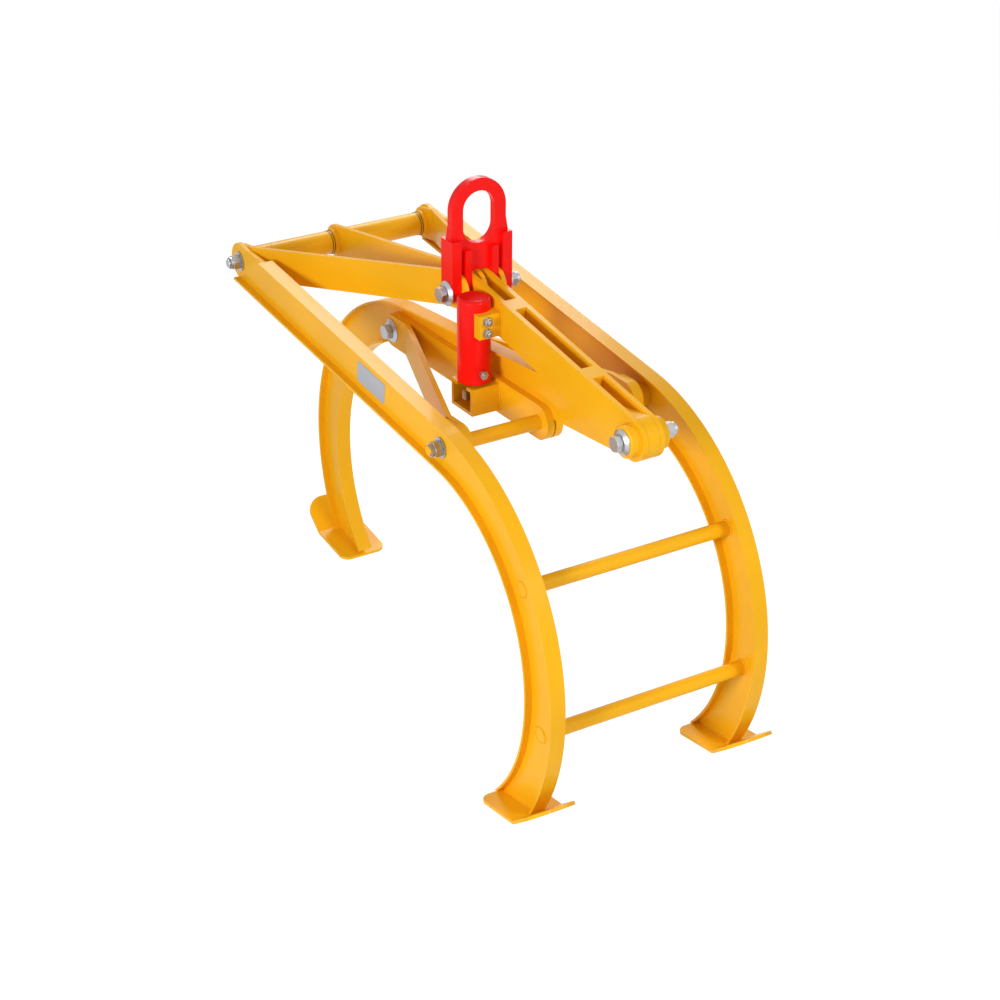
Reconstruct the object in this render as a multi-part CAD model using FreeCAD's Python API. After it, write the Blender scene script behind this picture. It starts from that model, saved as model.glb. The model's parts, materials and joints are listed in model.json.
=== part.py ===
"""Rock grapple: a four-bar stone grab with a curved double arm, a curved centre arm,
two lifting links, a suspension eye and an automatic hold-open latch.

Millimetres, +Z up, X along the grab from the centre arm's foot to the double arm's feet.
The shapes are drawn about the main pivot, which lies at x = 0, z = 0, y = 0, and are moved at
the end so that the origin is the centre of the bottom of the whole part's box.
"""
import FreeCAD
import Part
import math
import os

V = FreeCAD.Vector

# Pivots, as x and z from the main pivot
UPPER_PIVOT = (-1069.0, 123.0)
EYE_PIVOT = (-324.0, 242.0)
LINK_PIVOT = (407.0, 119.0)
BRACE_BOLT = (-701.0, -7.0)

# Rolled I-section of the arms
BEAM_H = 116.0
FLANGE_W = 42.0
FLANGE_T = 6.5
WEB_T = 5.0
BEND_R = 510.0
OUTER_WIDTH = 600.0

# Double arm
DOUBLE_RISE = 6.0
DOUBLE_BEND_START = 15.0
DOUBLE_SWEEP = 135.0
TOP_FLANGE_START = 144.0
BOTTOM_FLANGE_START = 0.0
NOSE_R = 50.0
LUG_T = 7.0
LUG_LENGTH = 150.0
RUNG_D = 38.0
RUNG_WELD_STAND = 1.0
UPPER_RUNG = (365.2, -218.6)
LOWER_RUNG = (454.4, -570.9)

# Centre arm
CENTRE_RISE = 71.4
CENTRE_SLOPE = 5.0
CENTRE_BEND_START = 655.0
CENTRE_SWEEP = 130.0
INNER_FLANGE_TRIM = 17.0
NARROW_FLANGE_FROM = 20.0
BOSS_START = 290.0
BOSS_R = 53.0

# Feet
FOOT_T = 9.0
FOOT_HALF_W = 71.0
FOOT_CORNER_R = 28.0
LOBE_LENGTH = 111.0
LOBE_CORNER_R = 52.0
LOBE_BEND = 30.0
LOBE_BEND_R = 12.0
DOUBLE_FOOT_INNER = (287.0, -828.3)
DOUBLE_FOOT_LENGTH = 158.0
DOUBLE_FOOT_TILT = 7.0
CENTRE_FOOT_INNER = (-952.0, -819.0)
CENTRE_FOOT_LENGTH = 153.0
CENTRE_FOOT_TILT = 9.0

# Centre plates, braces and the bar through the main pivot
CENTRE_PLATE_T = 20.0
CENTRE_PLATE_R = 46.0
BRACE_T = 14.0
BRACE_R = 44.0
BRACE_E_STRAIGHT = 72.0
BRACE_EAR_STRAIGHT = 62.0
BRACE_BEND_R = 8.0
EAR_SET_IN = 60.0
EAR_R = 48.0
EAR_PAD_T = 14.0
PIVOT_BOSS_R = 31.0
CROSS_BAR_D = 38.0

# Latch box on the near centre plate
BOX_X = -227.0
BOX_W = 100.0
BOX_TOP = 35.0
BOX_H = 72.5
BOX_REACH = 104.0
BOX_WALL = 9.0
SLOT_W = 46.0
SLOT_END = 30.0

# Left link, from the upper pivot to the eye pin
PLATE_T = 12.0
PLATE_R = 46.5
PLATE_B_R = 45.0
PLATE_B_STRAIGHT = 58.0
PLATE_A_STRAIGHT = 62.0
PLATE_BEND_R = 8.0
TUBE_D = 65.0
TUBE_WALL = 8.0
RING_D = 73.0
RING_W = 9.0
STUB_PLUG_LENGTH = 40.0

# Right link, from the eye pin to the link pin
PULL_T = 13.0
PULL_GAP = 33.0
PULL_EYE_R = 46.0
PULL_PIN_R = 53.0
SPACER_LENGTH = 47.0
SPACER_H = 42.0
SPACER_EYE_AT = 178.0
SPACER_PIN_AT = 218.0
COLLAR_D = 80.0
COLLAR_W = 25.0

# Suspension eye
EYE_T = 24.5
EYE_HOLE_R = 46.0
EYE_HOLE_H = 136.0
EYE_RING = 33.0
EYE_TOP = 291.0
SHOULDER_Z = 142.0
WEB_BOTTOM_Z = 52.0
LEG_DEPTH = 54.0
OUTER_LEG_T = 27.0
INNER_LEG_T = 18.0
INNER_LEG_TOP_Z = 112.0
BUSH_D = 42.0

# Latch: tube, bracket, rod and hook
LATCH_X = -219.0
LATCH_Y = -73.0
LATCH_TUBE_D = 85.0
LATCH_TUBE_WALL = 8.0
LATCH_TUBE_BOTTOM = 44.0
LATCH_TUBE_TOP = 268.0
CAP_ROUND = 9.0
BRACKET_FRONT = 21.5
BRACKET_REACH = 62.0
BRACKET_H = 62.0
BRACKET_MID_Z = 207.0
GUIDE_H = 44.0
ROD_D = 25.0
ROD_COLLAR_D = 52.0
ROD_COLLAR_H = 12.0
ROD_TOP_LENGTH = 60.0
TEE_LENGTH = 61.0
TEE_W = 19.0
TEE_H = 25.0
TEE_BOTTOM = -7.0
CLAMP_SCREW_D = 12.0
CLAMP_SCREW_PITCH = 30.0
LOCK_SCREW_D = 10.0
LOCK_SCREW_RISE = 28.0
SPOT_FACE_DEPTH = 1.2

# Pins, washers, nuts
PIN_D = 24.0
HEX_AF = 36.0
HEX_CHAMFER = 30.0
HEAD_H = 16.0
NUT_H = 20.0
NUT_COLLAR_H = 7.0
NUT_COLLAR_D = 33.0
BOLT_END = 6.0
END_CHAMFER = 1.5
FLAT_WASHER_D = 53.0
FLAT_WASHER_T = 4.0
CONE_WASHER_D = 65.0
CONE_WASHER_TOP_D = 48.0
CONE_WASHER_T = 9.0

# Clearances; OPEN_PIVOT is the room round the eye pin in the right link's holes
RUN = 0.08
FIT = 0.05
SIDE = 0.5
OPEN_PIVOT = 5.5

HALF_WEB = WEB_T / 2
BEAM_Y = OUTER_WIDTH / 2 - HALF_WEB
WEB_INNER_Y = OUTER_WIDTH / 2 - WEB_T
EAR_INNER_Y = WEB_INNER_Y - EAR_SET_IN
LUG_INNER_Y = WEB_INNER_Y - LUG_T
HALF_H = BEAM_H / 2
PULL_IN = PULL_GAP / 2
PULL_OUT = PULL_IN + PULL_T
PIN_R = PIN_D / 2
BEAM_SLOPE = math.degrees(math.atan2(-UPPER_PIVOT[1], -UPPER_PIVOT[0]))
BAR_R = CROSS_BAR_D / 2
INNER_LEG_IN = PULL_OUT + SIDE
INNER_LEG_OUT = INNER_LEG_IN + INNER_LEG_T
PLATE_A_IN = INNER_LEG_OUT + SIDE
PLATE_A_OUT = PLATE_A_IN + PLATE_T
OUTER_LEG_IN = PLATE_A_OUT + SIDE
OUTER_LEG_OUT = OUTER_LEG_IN + OUTER_LEG_T
PLATE_B_OUT = LUG_INNER_Y - SIDE
PLATE_B_IN = PLATE_B_OUT - PLATE_T
BRACE_IN = HALF_WEB + CENTRE_PLATE_T
BRACE_OUT = BRACE_IN + BRACE_T
EAR_OUTER_Y = EAR_INNER_Y + BRACE_T
PAD_OUTER_Y = EAR_OUTER_Y + EAR_PAD_T
NEAR = -1
FAR = 1


def at(x, z, y=0.0):
    """A point in the grab's side view."""
    return V(x, y, z)


def turned(vector, degrees):
    """A side-view vector turned counter-clockwise, as seen from the near side."""
    c = math.cos(math.radians(degrees))
    s = math.sin(math.radians(degrees))
    return V(vector.x * c - vector.z * s, 0, vector.x * s + vector.z * c)


def heading(degrees):
    """The unit vector at an angle above +X in the side view."""
    return turned(V(1, 0, 0), degrees)


def face_of(points):
    """A face from corner points joined by straight edges."""
    return Part.Face(Part.makePolygon(list(points) + [points[0]]))


def across(face, y_low, y_high):
    """A side-view face at y = 0 extruded from y_low to y_high."""
    solid = face.extrude(V(0, y_high - y_low, 0))
    solid.translate(V(0, y_low, 0))
    return solid


def spread(inner, outer, side):
    """The two y limits of a piece that lies between two distances on one side."""
    return sorted((side * inner, side * outer))


def pin(point, radius, y_low, y_high):
    """A round bar along Y."""
    return Part.makeCylinder(radius, y_high - y_low, at(point[0], point[1], y_low), V(0, 1, 0))


def ring(point, outer_radius, inner_radius, y_low, y_high):
    """A round collar along Y with a bore."""
    return pin(point, outer_radius, y_low, y_high).cut(pin(point, inner_radius, y_low, y_high))


def joined(shapes):
    """Several overlapping or touching solids fused into one."""
    first, rest = shapes[0], shapes[1:]
    return first.multiFuse(rest).removeSplitter() if rest else first


def arm_strip(start, angle, length, turn, sweep, low, high, skip=0.0, sweep_from=0.0, straight=True):
    """The side-view face between two offsets from an arm's centre line.

    The line leaves start at angle, runs straight for length, and then bends with BEND_R.
    turn is +1 for a bend to the left and -1 to the right. Offsets are positive to the left.
    """
    ahead = heading(angle)
    left = heading(angle + 90)
    begin = start + ahead * skip
    corner = start + ahead * length
    centre = corner + left * (turn * BEND_R)
    parts = []
    if straight:
        parts.append(face_of([begin + left * low, corner + left * low,
                              corner + left * high, begin + left * high]))
    if sweep:
        def on_arc(offset, degrees):
            return centre + turned(left * (offset - turn * BEND_R), turn * degrees)

        middle = (sweep_from + sweep) / 2
        outline = [
            Part.Arc(on_arc(low, sweep_from), on_arc(low, middle), on_arc(low, sweep)).toShape(),
            Part.makeLine(on_arc(low, sweep), on_arc(high, sweep)),
            Part.Arc(on_arc(high, sweep), on_arc(high, middle), on_arc(high, sweep_from)).toShape(),
            Part.makeLine(on_arc(high, sweep_from), on_arc(low, sweep_from)),
        ]
        parts.append(Part.Face(Part.Wire(outline)))
    return parts


def strip_solid(faces, y_mid, width):
    """The strips of an arm extruded to a width about y_mid."""
    return joined([across(face, y_mid - width / 2, y_mid + width / 2) for face in faces])


def link_outline(start, end, start_r, end_r):
    """The side-view face of a link with two round ends and tangent sides."""
    a = at(*start)
    b = at(*end)
    line = b.sub(a)
    span = line.Length
    along = math.degrees(math.atan2(line.z, line.x))
    lean = math.degrees(math.acos((start_r - end_r) / span))
    up = heading(along + lean)
    down = heading(along - lean)
    back = heading(along + 180)
    front = heading(along)
    outline = [
        Part.makeLine(a + down * start_r, b + down * end_r),
        Part.Arc(b + down * end_r, b + front * end_r, b + up * end_r).toShape(),
        Part.makeLine(b + up * end_r, a + up * start_r),
        Part.Arc(a + up * start_r, a + back * start_r, a + down * start_r).toShape(),
    ]
    return Part.Face(Part.Wire(outline))


def bent_link(start, end, start_r, end_r, start_y, end_y, thickness, start_flat, end_flat, bend_r):
    """A flat link plate, joggled sideways between two parallel ends.

    start_y and end_y are the lower y limits of the plate at its two ends. The flats are the
    straight lengths beyond the two pivots.
    """
    a = at(*start)
    b = at(*end)
    line = b.sub(a)
    span = line.Length
    along = line * (1 / span)
    up = V(-along.z, 0, along.x)
    reach = 2 * max(start_r, end_r)
    run = span - start_flat - end_flat
    shift = end_y - start_y
    way = 1 if shift > 0 else -1
    lift = way * thickness * math.tan(math.atan2(abs(shift), run) / 2)

    def place(u, y):
        return a + along * u + V(0, y, 0) - up * reach

    lower = [(-reach, start_y), (start_flat, start_y), (start_flat + run, end_y), (span + reach, end_y)]
    upper = [(-reach, start_y + thickness), (start_flat - lift, start_y + thickness),
             (start_flat + run - lift, end_y + thickness), (span + reach, end_y + thickness)]
    body = face_of([place(u, y) for u, y in lower + upper[::-1]]).extrude(up * (2 * reach))
    inner, outer = bend_r, bend_r + thickness
    bends = [(lower[1], outer if way > 0 else inner), (upper[1], inner if way > 0 else outer),
             (lower[2], inner if way > 0 else outer), (upper[2], outer if way > 0 else inner)]
    for (u, y), radius in bends:
        body = body.makeFillet(radius, [edge_through(body, place(u, y) + up * reach)])
    outline = across(link_outline(start, end, start_r, end_r), -OUTER_WIDTH, OUTER_WIDTH)
    return body.common(outline)


def edge_through(shape, point):
    """The edge of a shape whose middle lies nearest to a point."""
    return min(shape.Edges, key=lambda edge: edge.CenterOfMass.distanceToPoint(point))


def hexagon(point, across_flats, y_low, y_high, turn=15.0):
    """A hexagonal prism along Y with its corners chamfered on both ends."""
    radius = across_flats / math.sqrt(3)
    centre = at(*point)
    corners = [centre + heading(60 * i + turn) * radius for i in range(6)]
    prism = across(face_of(corners), y_low, y_high)
    height = y_high - y_low
    face_r = across_flats / 2 - FIT
    wide_r = face_r + height / math.tan(math.radians(HEX_CHAMFER))
    lower = Part.makeCone(face_r, wide_r, height, at(*point, y_low), V(0, 1, 0))
    upper = Part.makeCone(face_r, wide_r, height, at(*point, y_high), V(0, -1, 0))
    return prism.common(lower).common(upper)


def lock_nut(point, y_face, side, radius):
    """A hexagon lock nut with a plain collar on top, on the face at y_face."""
    low, high = sorted((y_face, y_face + side * NUT_H))
    body = hexagon(point, HEX_AF, low, high)
    low, high = sorted((y_face + side * NUT_H, y_face + side * (NUT_H + NUT_COLLAR_H)))
    collar = pin(point, NUT_COLLAR_D / 2, low, high)
    nut = joined([body, collar])
    low, high = sorted((y_face, y_face + side * (NUT_H + NUT_COLLAR_H)))
    return nut.cut(pin(point, radius + FIT, low, high))


def flat_washer(point, y_face, side):
    low, high = sorted((y_face, y_face + side * FLAT_WASHER_T))
    return ring(point, FLAT_WASHER_D / 2, PIN_R + FIT, low, high)


def cone_washer(point, y_face, side):
    """A thick washer with a sloping rim; its wide side lies on the face at y_face."""
    cone = Part.makeCone(CONE_WASHER_D / 2, CONE_WASHER_TOP_D / 2, CONE_WASHER_T - 2,
                         at(*point, y_face + side * 2), V(0, side, 0))
    low, high = sorted((y_face, y_face + side * 2))
    body = joined([cone, pin(point, CONE_WASHER_D / 2, low, high)])
    low, high = sorted((y_face, y_face + side * CONE_WASHER_T))
    return body.cut(pin(point, PIN_R + FIT, low, high))


def threaded_end(point, start, end):
    """A bar from start to end along Y with a chamfer at its end."""
    low, high = sorted((start, end))
    bar = pin(point, PIN_R, low, high)
    way = 1 if end > start else -1
    cone = Part.makeCone(PIN_R - END_CHAMFER, PIN_R + high - low - END_CHAMFER, high - low,
                         at(*point, end), V(0, -way, 0))
    return bar.common(cone)


def headed_bolt(point, head_face, side, end):
    """A hexagon bolt: its head lies outside head_face on one side, its shank runs to end."""
    shank = threaded_end(point, head_face, end)
    low, high = sorted((head_face, head_face + side * HEAD_H))
    return joined([shank, hexagon(point, HEX_AF, low, high)])


def nut_stack():
    """The length that a nut and the bolt's end take beyond a washer."""
    return NUT_H + NUT_COLLAR_H + BOLT_END


# Arms

def double_start():
    ahead = heading(BEAM_SLOPE)
    return at(*UPPER_PIVOT) + turned(ahead, 90) * DOUBLE_RISE


def double_length():
    return math.hypot(*UPPER_PIVOT) + DOUBLE_BEND_START


def double_beam(side):
    """A curved I-beam of the double arm, with its rounded nose round the upper pivot."""
    start = double_start()
    length = double_length()
    y_mid = side * BEAM_Y

    def piece(low, high, width, skip):
        faces = arm_strip(start, BEAM_SLOPE, length, -1, DOUBLE_SWEEP, low, high, skip)
        return strip_solid(faces, y_mid, width)

    web = piece(-HALF_H + 1, HALF_H - 1, WEB_T, TOP_FLANGE_START)
    top = piece(HALF_H - FLANGE_T, HALF_H, FLANGE_W, TOP_FLANGE_START)
    bottom = piece(-HALF_H, -HALF_H + FLANGE_T, FLANGE_W, BOTTOM_FLANGE_START)
    ahead = heading(BEAM_SLOPE)
    left = turned(ahead, 90)
    nose_end = start + ahead * LUG_LENGTH
    nose_top = HALF_H - FLANGE_T
    nose = face_of([at(*UPPER_PIVOT) + left * NOSE_R, at(*UPPER_PIVOT) - left * NOSE_R,
                    start + left * (-HALF_H + 1), nose_end + left * (-HALF_H + 1),
                    nose_end + left * nose_top, start + ahead * (LUG_LENGTH - 60) + left * (nose_top - 5)])
    y_low, y_high = spread(LUG_INNER_Y, OUTER_WIDTH / 2, side)
    nose = across(nose, y_low, y_high)
    nose_round = pin(UPPER_PIVOT, NOSE_R, y_low, y_high)
    beam = joined([web, top, bottom, nose, nose_round])
    beam = beam.cut(ground_block(DOUBLE_FOOT_INNER, 1, DOUBLE_FOOT_TILT, y_mid))
    beam = beam.cut(foot(DOUBLE_FOOT_INNER, 1, DOUBLE_FOOT_TILT, DOUBLE_FOOT_LENGTH, y_mid))
    holes = [pin(point, PIN_R + RUN, y_low - 1, y_high + 1) for point in (UPPER_PIVOT, (0, 0))]
    holes += [pin(rung, RUNG_D / 2 + FIT, y_low - 1, y_high + 1) for rung in (UPPER_RUNG, LOWER_RUNG)]
    return beam.cut(holes[0].multiFuse(holes[1:]))


def rung(point):
    return pin(point, RUNG_D / 2, -OUTER_WIDTH / 2 - RUNG_WELD_STAND, OUTER_WIDTH / 2 + RUNG_WELD_STAND)


def sole_frame(inner, way, tilt):
    """The point on a sole at a distance from its inner edge and a height above it."""
    along = turned(V(1, 0, 0), tilt)
    rise = turned(V(0, 0, 1), tilt)

    def place(u, w):
        point = along * u + rise * w
        return at(inner[0] + way * point.x, inner[1] + point.z)
    return place


def ground_block(inner, way, tilt, y_mid):
    """All that lies below the upper side of a foot plate."""
    place = sole_frame(inner, way, tilt)
    reach = 2 * BEND_R
    block = face_of([place(-reach, -reach), place(reach, -reach), place(reach, FOOT_T), place(-reach, FOOT_T)])
    return across(block, y_mid - BEAM_H, y_mid + BEAM_H)


def foot(inner, way, tilt, length, y_mid):
    """A foot plate: flat under the leg, with an outer lobe bent up and rounded."""
    place = sole_frame(inner, way, tilt)
    c = math.cos(math.radians(LOBE_BEND))
    s = math.sin(math.radians(LOBE_BEND))
    half = FOOT_T * math.tan(math.radians(LOBE_BEND) / 2)
    tip = (length + LOBE_LENGTH * c, LOBE_LENGTH * s)
    profile = [place(0, 0), place(length, 0), place(*tip),
               place(tip[0] - FOOT_T * s, tip[1] + FOOT_T * c), place(length - half, FOOT_T), place(0, FOOT_T)]
    plate = across(face_of(profile), y_mid - FOOT_HALF_W, y_mid + FOOT_HALF_W)
    tip_point = place(*tip)

    def short_edges(near_point, reach):
        found = []
        for edge in plate.Edges:
            middle = V(edge.CenterOfMass.x, 0, edge.CenterOfMass.z)
            if abs(edge.Length - FOOT_T) < 1e-6 and middle.distanceToPoint(near_point) < reach:
                found.append(edge)
        return found

    plate = plate.makeFillet(FOOT_CORNER_R, short_edges(place(0, 0), FOOT_T))
    plate = plate.makeFillet(LOBE_CORNER_R, short_edges(tip_point, FOOT_T))
    for point, radius in ((place(length, 0), LOBE_BEND_R + FOOT_T), (place(length - half, FOOT_T), LOBE_BEND_R)):
        plate = plate.makeFillet(radius, [edge_through(plate, point + V(0, y_mid, 0))])
    return plate


def centre_start():
    """The point where the centre arm's straight part reaches the link pin's boss."""
    return at(BOSS_START, CENTRE_RISE + BOSS_START * math.tan(math.radians(CENTRE_SLOPE)))


def centre_arm_run():
    """The start, heading and straight length of the centre arm, and where its flange narrows."""
    cosine = math.cos(math.radians(CENTRE_SLOPE))
    length = (BOSS_START + CENTRE_BEND_START) / cosine
    narrow = (BOSS_START - NARROW_FLANGE_FROM) / cosine
    return centre_start(), 180 + CENTRE_SLOPE, length, narrow


def centre_beam():
    """The curved centre arm: leg, arch and the straight part with its wide upper flange."""
    start, angle, length, narrow = centre_arm_run()

    def piece(low, high, width, **choice):
        faces = arm_strip(start, angle, length, 1, CENTRE_SWEEP, low, high, **choice)
        return strip_solid(faces, 0, width)

    web = piece(-HALF_H + 1, HALF_H - 1, WEB_T, skip=narrow)
    top = piece(-HALF_H, -HALF_H + FLANGE_T, FLANGE_W, skip=narrow)
    bottom = piece(HALF_H - FLANGE_T, HALF_H, FLANGE_W, sweep_from=INNER_FLANGE_TRIM, straight=False)
    beam = joined([web, top, bottom])
    beam = beam.cut(ground_block(CENTRE_FOOT_INNER, -1, CENTRE_FOOT_TILT, 0))
    beam = beam.cut(foot(CENTRE_FOOT_INNER, -1, CENTRE_FOOT_TILT, CENTRE_FOOT_LENGTH, 0))
    edge_x, edge_z = CENTRE_FOOT_INNER
    beam = beam.cut(Part.makeBox(BEAM_H, BEAM_H, BEAM_H, V(edge_x, -BEAM_H / 2, edge_z - BEAM_H / 2)))
    beam = beam.cut(pin(BRACE_BOLT, PIN_R + FIT, -WEB_T, WEB_T))
    return beam.cut(pin((0, 0), BAR_R + FIT, -WEB_T, WEB_T))


def centre_beam_end():
    """The end of the centre arm between the right link's plates, with the link pin's boss."""
    start, angle, length, narrow = centre_arm_run()
    half = PULL_IN - SIDE
    web = strip_solid(arm_strip(start, angle, narrow, 1, 0, -HALF_H + 1, HALF_H - 1), 0, WEB_T)
    top = strip_solid(arm_strip(start, angle, narrow, 1, 0, -HALF_H, -HALF_H + FLANGE_T), 0, 2 * half)
    boss = pin(LINK_PIVOT, BOSS_R, -half, half)
    up = turned(heading(CENTRE_SLOPE), 90)
    pivot = at(*LINK_PIVOT)
    neck = across(face_of([start - up * (HALF_H - 1), pivot - up * BOSS_R, pivot + up * BOSS_R,
                           start + up * (HALF_H - 1)]), -HALF_WEB, HALF_WEB)
    rail = across(face_of([start + up * (HALF_H - FLANGE_T), pivot + up * (BOSS_R - FLANGE_T),
                           pivot + up * BOSS_R, start + up * HALF_H]), -half, half)
    end = joined([web, top, boss, neck, rail])
    end = end.cut(pin(LINK_PIVOT, PIN_R + RUN, -half - 1, half + 1))
    return end.cut(pin((0, 0), BAR_R + FIT, -WEB_T, WEB_T))


def centre_plate(side):
    y_low, y_high = spread(HALF_WEB, BRACE_IN, side)
    plate = across(link_outline(BRACE_BOLT, (0, 0), CENTRE_PLATE_R, CENTRE_PLATE_R), y_low, y_high)
    plate = plate.cut(pin(BRACE_BOLT, PIN_R + FIT, y_low, y_high))
    return plate.cut(pin((0, 0), BAR_R + FIT, y_low, y_high))


def brace(side):
    """A bent plate from the brace bolt out to the ear beside a beam of the double arm."""
    start_y = BRACE_IN if side == FAR else -BRACE_OUT
    end_y = EAR_INNER_Y if side == FAR else -EAR_OUTER_Y
    plate = bent_link(BRACE_BOLT, (0, 0), BRACE_R, EAR_R, start_y, end_y, BRACE_T,
                      BRACE_E_STRAIGHT, BRACE_EAR_STRAIGHT, BRACE_BEND_R)
    plate = plate.cut(pin(BRACE_BOLT, PIN_R + FIT, -OUTER_WIDTH, OUTER_WIDTH))
    return plate.cut(pin((0, 0), PIN_R + FIT, -OUTER_WIDTH, OUTER_WIDTH))


def ear_pad(side):
    """The thick pad on an ear, with the round boss that runs against the beam's web."""
    y_low, y_high = spread(EAR_OUTER_Y, PAD_OUTER_Y, side)
    outline = link_outline((-BRACE_EAR_STRAIGHT + PIN_D, 0), (0, 0), EAR_R - 2, EAR_R)
    pad = across(outline, y_low, y_high)
    y_low, y_high = spread(PAD_OUTER_Y, WEB_INNER_Y - SIDE, side)
    pad = joined([pad, pin((0, 0), PIVOT_BOSS_R, y_low, y_high)])
    return pad.cut(pin((0, 0), PIN_R + FIT, -OUTER_WIDTH, OUTER_WIDTH))


def main_cross_bar():
    """The bar through the main pivot, thick between the ears and threaded beyond them."""
    reach = OUTER_WIDTH / 2 + SIDE + FLAT_WASHER_T + nut_stack()
    ends = [threaded_end((0, 0), 0, side * reach) for side in (NEAR, FAR)]
    return joined([pin((0, 0), BAR_R, -EAR_INNER_Y, EAR_INNER_Y)] + ends)


def box_plate(x_low, x_high, z_low, z_high):
    """A flat plate of the latch box, from the centre plate to the box's open near end."""
    length = BOX_REACH - BRACE_IN
    return Part.makeBox(x_high - x_low, length, z_high - z_low, V(x_low, -BOX_REACH, z_low))


def latch_box_sides():
    x_low, x_high = BOX_X - BOX_W / 2, BOX_X + BOX_W / 2
    z_low, z_high = BOX_TOP - BOX_H, BOX_TOP
    return [box_plate(x_low, x_low + BOX_WALL, z_low, z_high),
            box_plate(x_high - BOX_WALL, x_high, z_low, z_high)]


def latch_box_floor():
    inner = BOX_W / 2 - BOX_WALL
    return box_plate(BOX_X - inner, BOX_X + inner, BOX_TOP - BOX_H, BOX_TOP - BOX_H + BOX_WALL)


def latch_box_lid():
    """The top plate of the latch box, with the slot that the hook passes through."""
    inner = BOX_W / 2 - BOX_WALL
    plate = box_plate(BOX_X - inner, BOX_X + inner, BOX_TOP - BOX_WALL, BOX_TOP)
    slot_r = SLOT_W / 2
    slot_y = -SLOT_END - slot_r
    slot = Part.makeBox(SLOT_W, BOX_REACH + slot_y, BOX_WALL, V(BOX_X - slot_r, -BOX_REACH, BOX_TOP - BOX_WALL))
    slot_end = Part.makeCylinder(slot_r, BOX_WALL, V(BOX_X, slot_y, BOX_TOP - BOX_WALL))
    return plate.cut(slot.fuse(slot_end))


def brace_fasteners():
    face = BRACE_OUT
    bolt = headed_bolt(BRACE_BOLT, -face - CONE_WASHER_T, -1, face + CONE_WASHER_T + nut_stack())
    washers = [cone_washer(BRACE_BOLT, -face, -1), cone_washer(BRACE_BOLT, face, 1)]
    return bolt, washers, lock_nut(BRACE_BOLT, face + CONE_WASHER_T, 1, PIN_R)


# Left link

def left_link_tube():
    reach = PLATE_B_IN
    return ring(UPPER_PIVOT, TUBE_D / 2, TUBE_D / 2 - TUBE_WALL, -reach, reach)


def tube_rings():
    """The weld rings beside each plate of the left link."""
    rings = []
    for low in (PLATE_T / 2, PLATE_B_IN - RING_W):
        for side in (NEAR, FAR):
            y_low, y_high = spread(low, low + RING_W, side)
            rings.append(ring(UPPER_PIVOT, RING_D / 2, TUBE_D / 2 + FIT, y_low, y_high))
    return rings


def outer_link_plate(side):
    start_y = PLATE_B_IN if side == FAR else -PLATE_B_OUT
    end_y = PLATE_A_IN if side == FAR else -PLATE_A_OUT
    plate = bent_link(UPPER_PIVOT, EYE_PIVOT, PLATE_B_R, PLATE_R, start_y, end_y, PLATE_T,
                      PLATE_B_STRAIGHT, PLATE_A_STRAIGHT, PLATE_BEND_R)
    plate = plate.cut(pin(UPPER_PIVOT, PIN_R + FIT, -OUTER_WIDTH, OUTER_WIDTH))
    return plate.cut(pin(EYE_PIVOT, PIN_R + RUN, -OUTER_WIDTH, OUTER_WIDTH))


def middle_link_plate():
    half = PLATE_T / 2
    plate = across(link_outline(UPPER_PIVOT, EYE_PIVOT, PLATE_R, PLATE_R), -half, half)
    plate = plate.cut(pin(UPPER_PIVOT, TUBE_D / 2 + FIT, -half, half))
    return plate.cut(pin(EYE_PIVOT, PIN_R + RUN, -half, half))


def upper_pivot_stubs():
    """The threaded stubs in the ends of the left link's tube."""
    stubs = []
    for side in (NEAR, FAR):
        y_low, y_high = spread(PLATE_B_IN - STUB_PLUG_LENGTH, PLATE_B_IN, side)
        plug = pin(UPPER_PIVOT, TUBE_D / 2 - TUBE_WALL - FIT, y_low, y_high)
        reach = OUTER_WIDTH / 2 + SIDE + FLAT_WASHER_T + nut_stack()
        stubs.append(joined([plug, threaded_end(UPPER_PIVOT, side * (PLATE_B_IN - 1), side * reach)]))
    return stubs


def side_washers(point):
    face = OUTER_WIDTH / 2 + SIDE
    return [flat_washer(point, side * face, side) for side in (NEAR, FAR)]


def side_nuts(point):
    face = OUTER_WIDTH / 2 + SIDE + FLAT_WASHER_T
    return [lock_nut(point, side * face, side, PIN_R) for side in (NEAR, FAR)]


# Right link

def pull_plate(side):
    y_low, y_high = spread(PULL_IN, PULL_OUT, side)
    plate = across(link_outline(EYE_PIVOT, LINK_PIVOT, PULL_EYE_R, PULL_PIN_R), y_low, y_high)
    plate = plate.cut(pin(EYE_PIVOT, PIN_R + OPEN_PIVOT, y_low, y_high))
    return plate.cut(pin(LINK_PIVOT, PIN_R + FIT, y_low, y_high))


def pull_spacers():
    """The two blocks between the right link's plates, flush with their upper edges."""
    a = at(*EYE_PIVOT)
    line = at(*LINK_PIVOT).sub(a)
    span = line.Length
    along = line * (1 / span)
    up = V(-along.z, 0, along.x)
    blocks = []
    for middle in (SPACER_EYE_AT, span - SPACER_PIN_AT):
        def top(u):
            return PULL_EYE_R + (PULL_PIN_R - PULL_EYE_R) * u / span

        u_low = middle - SPACER_LENGTH / 2
        u_high = middle + SPACER_LENGTH / 2
        corners = [a + along * u_low + up * (top(u_low) - SPACER_H),
                   a + along * u_high + up * (top(u_high) - SPACER_H),
                   a + along * u_high + up * top(u_high),
                   a + along * u_low + up * top(u_low)]
        blocks.append(across(face_of(corners), -PULL_IN, PULL_IN))
    return blocks


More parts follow.
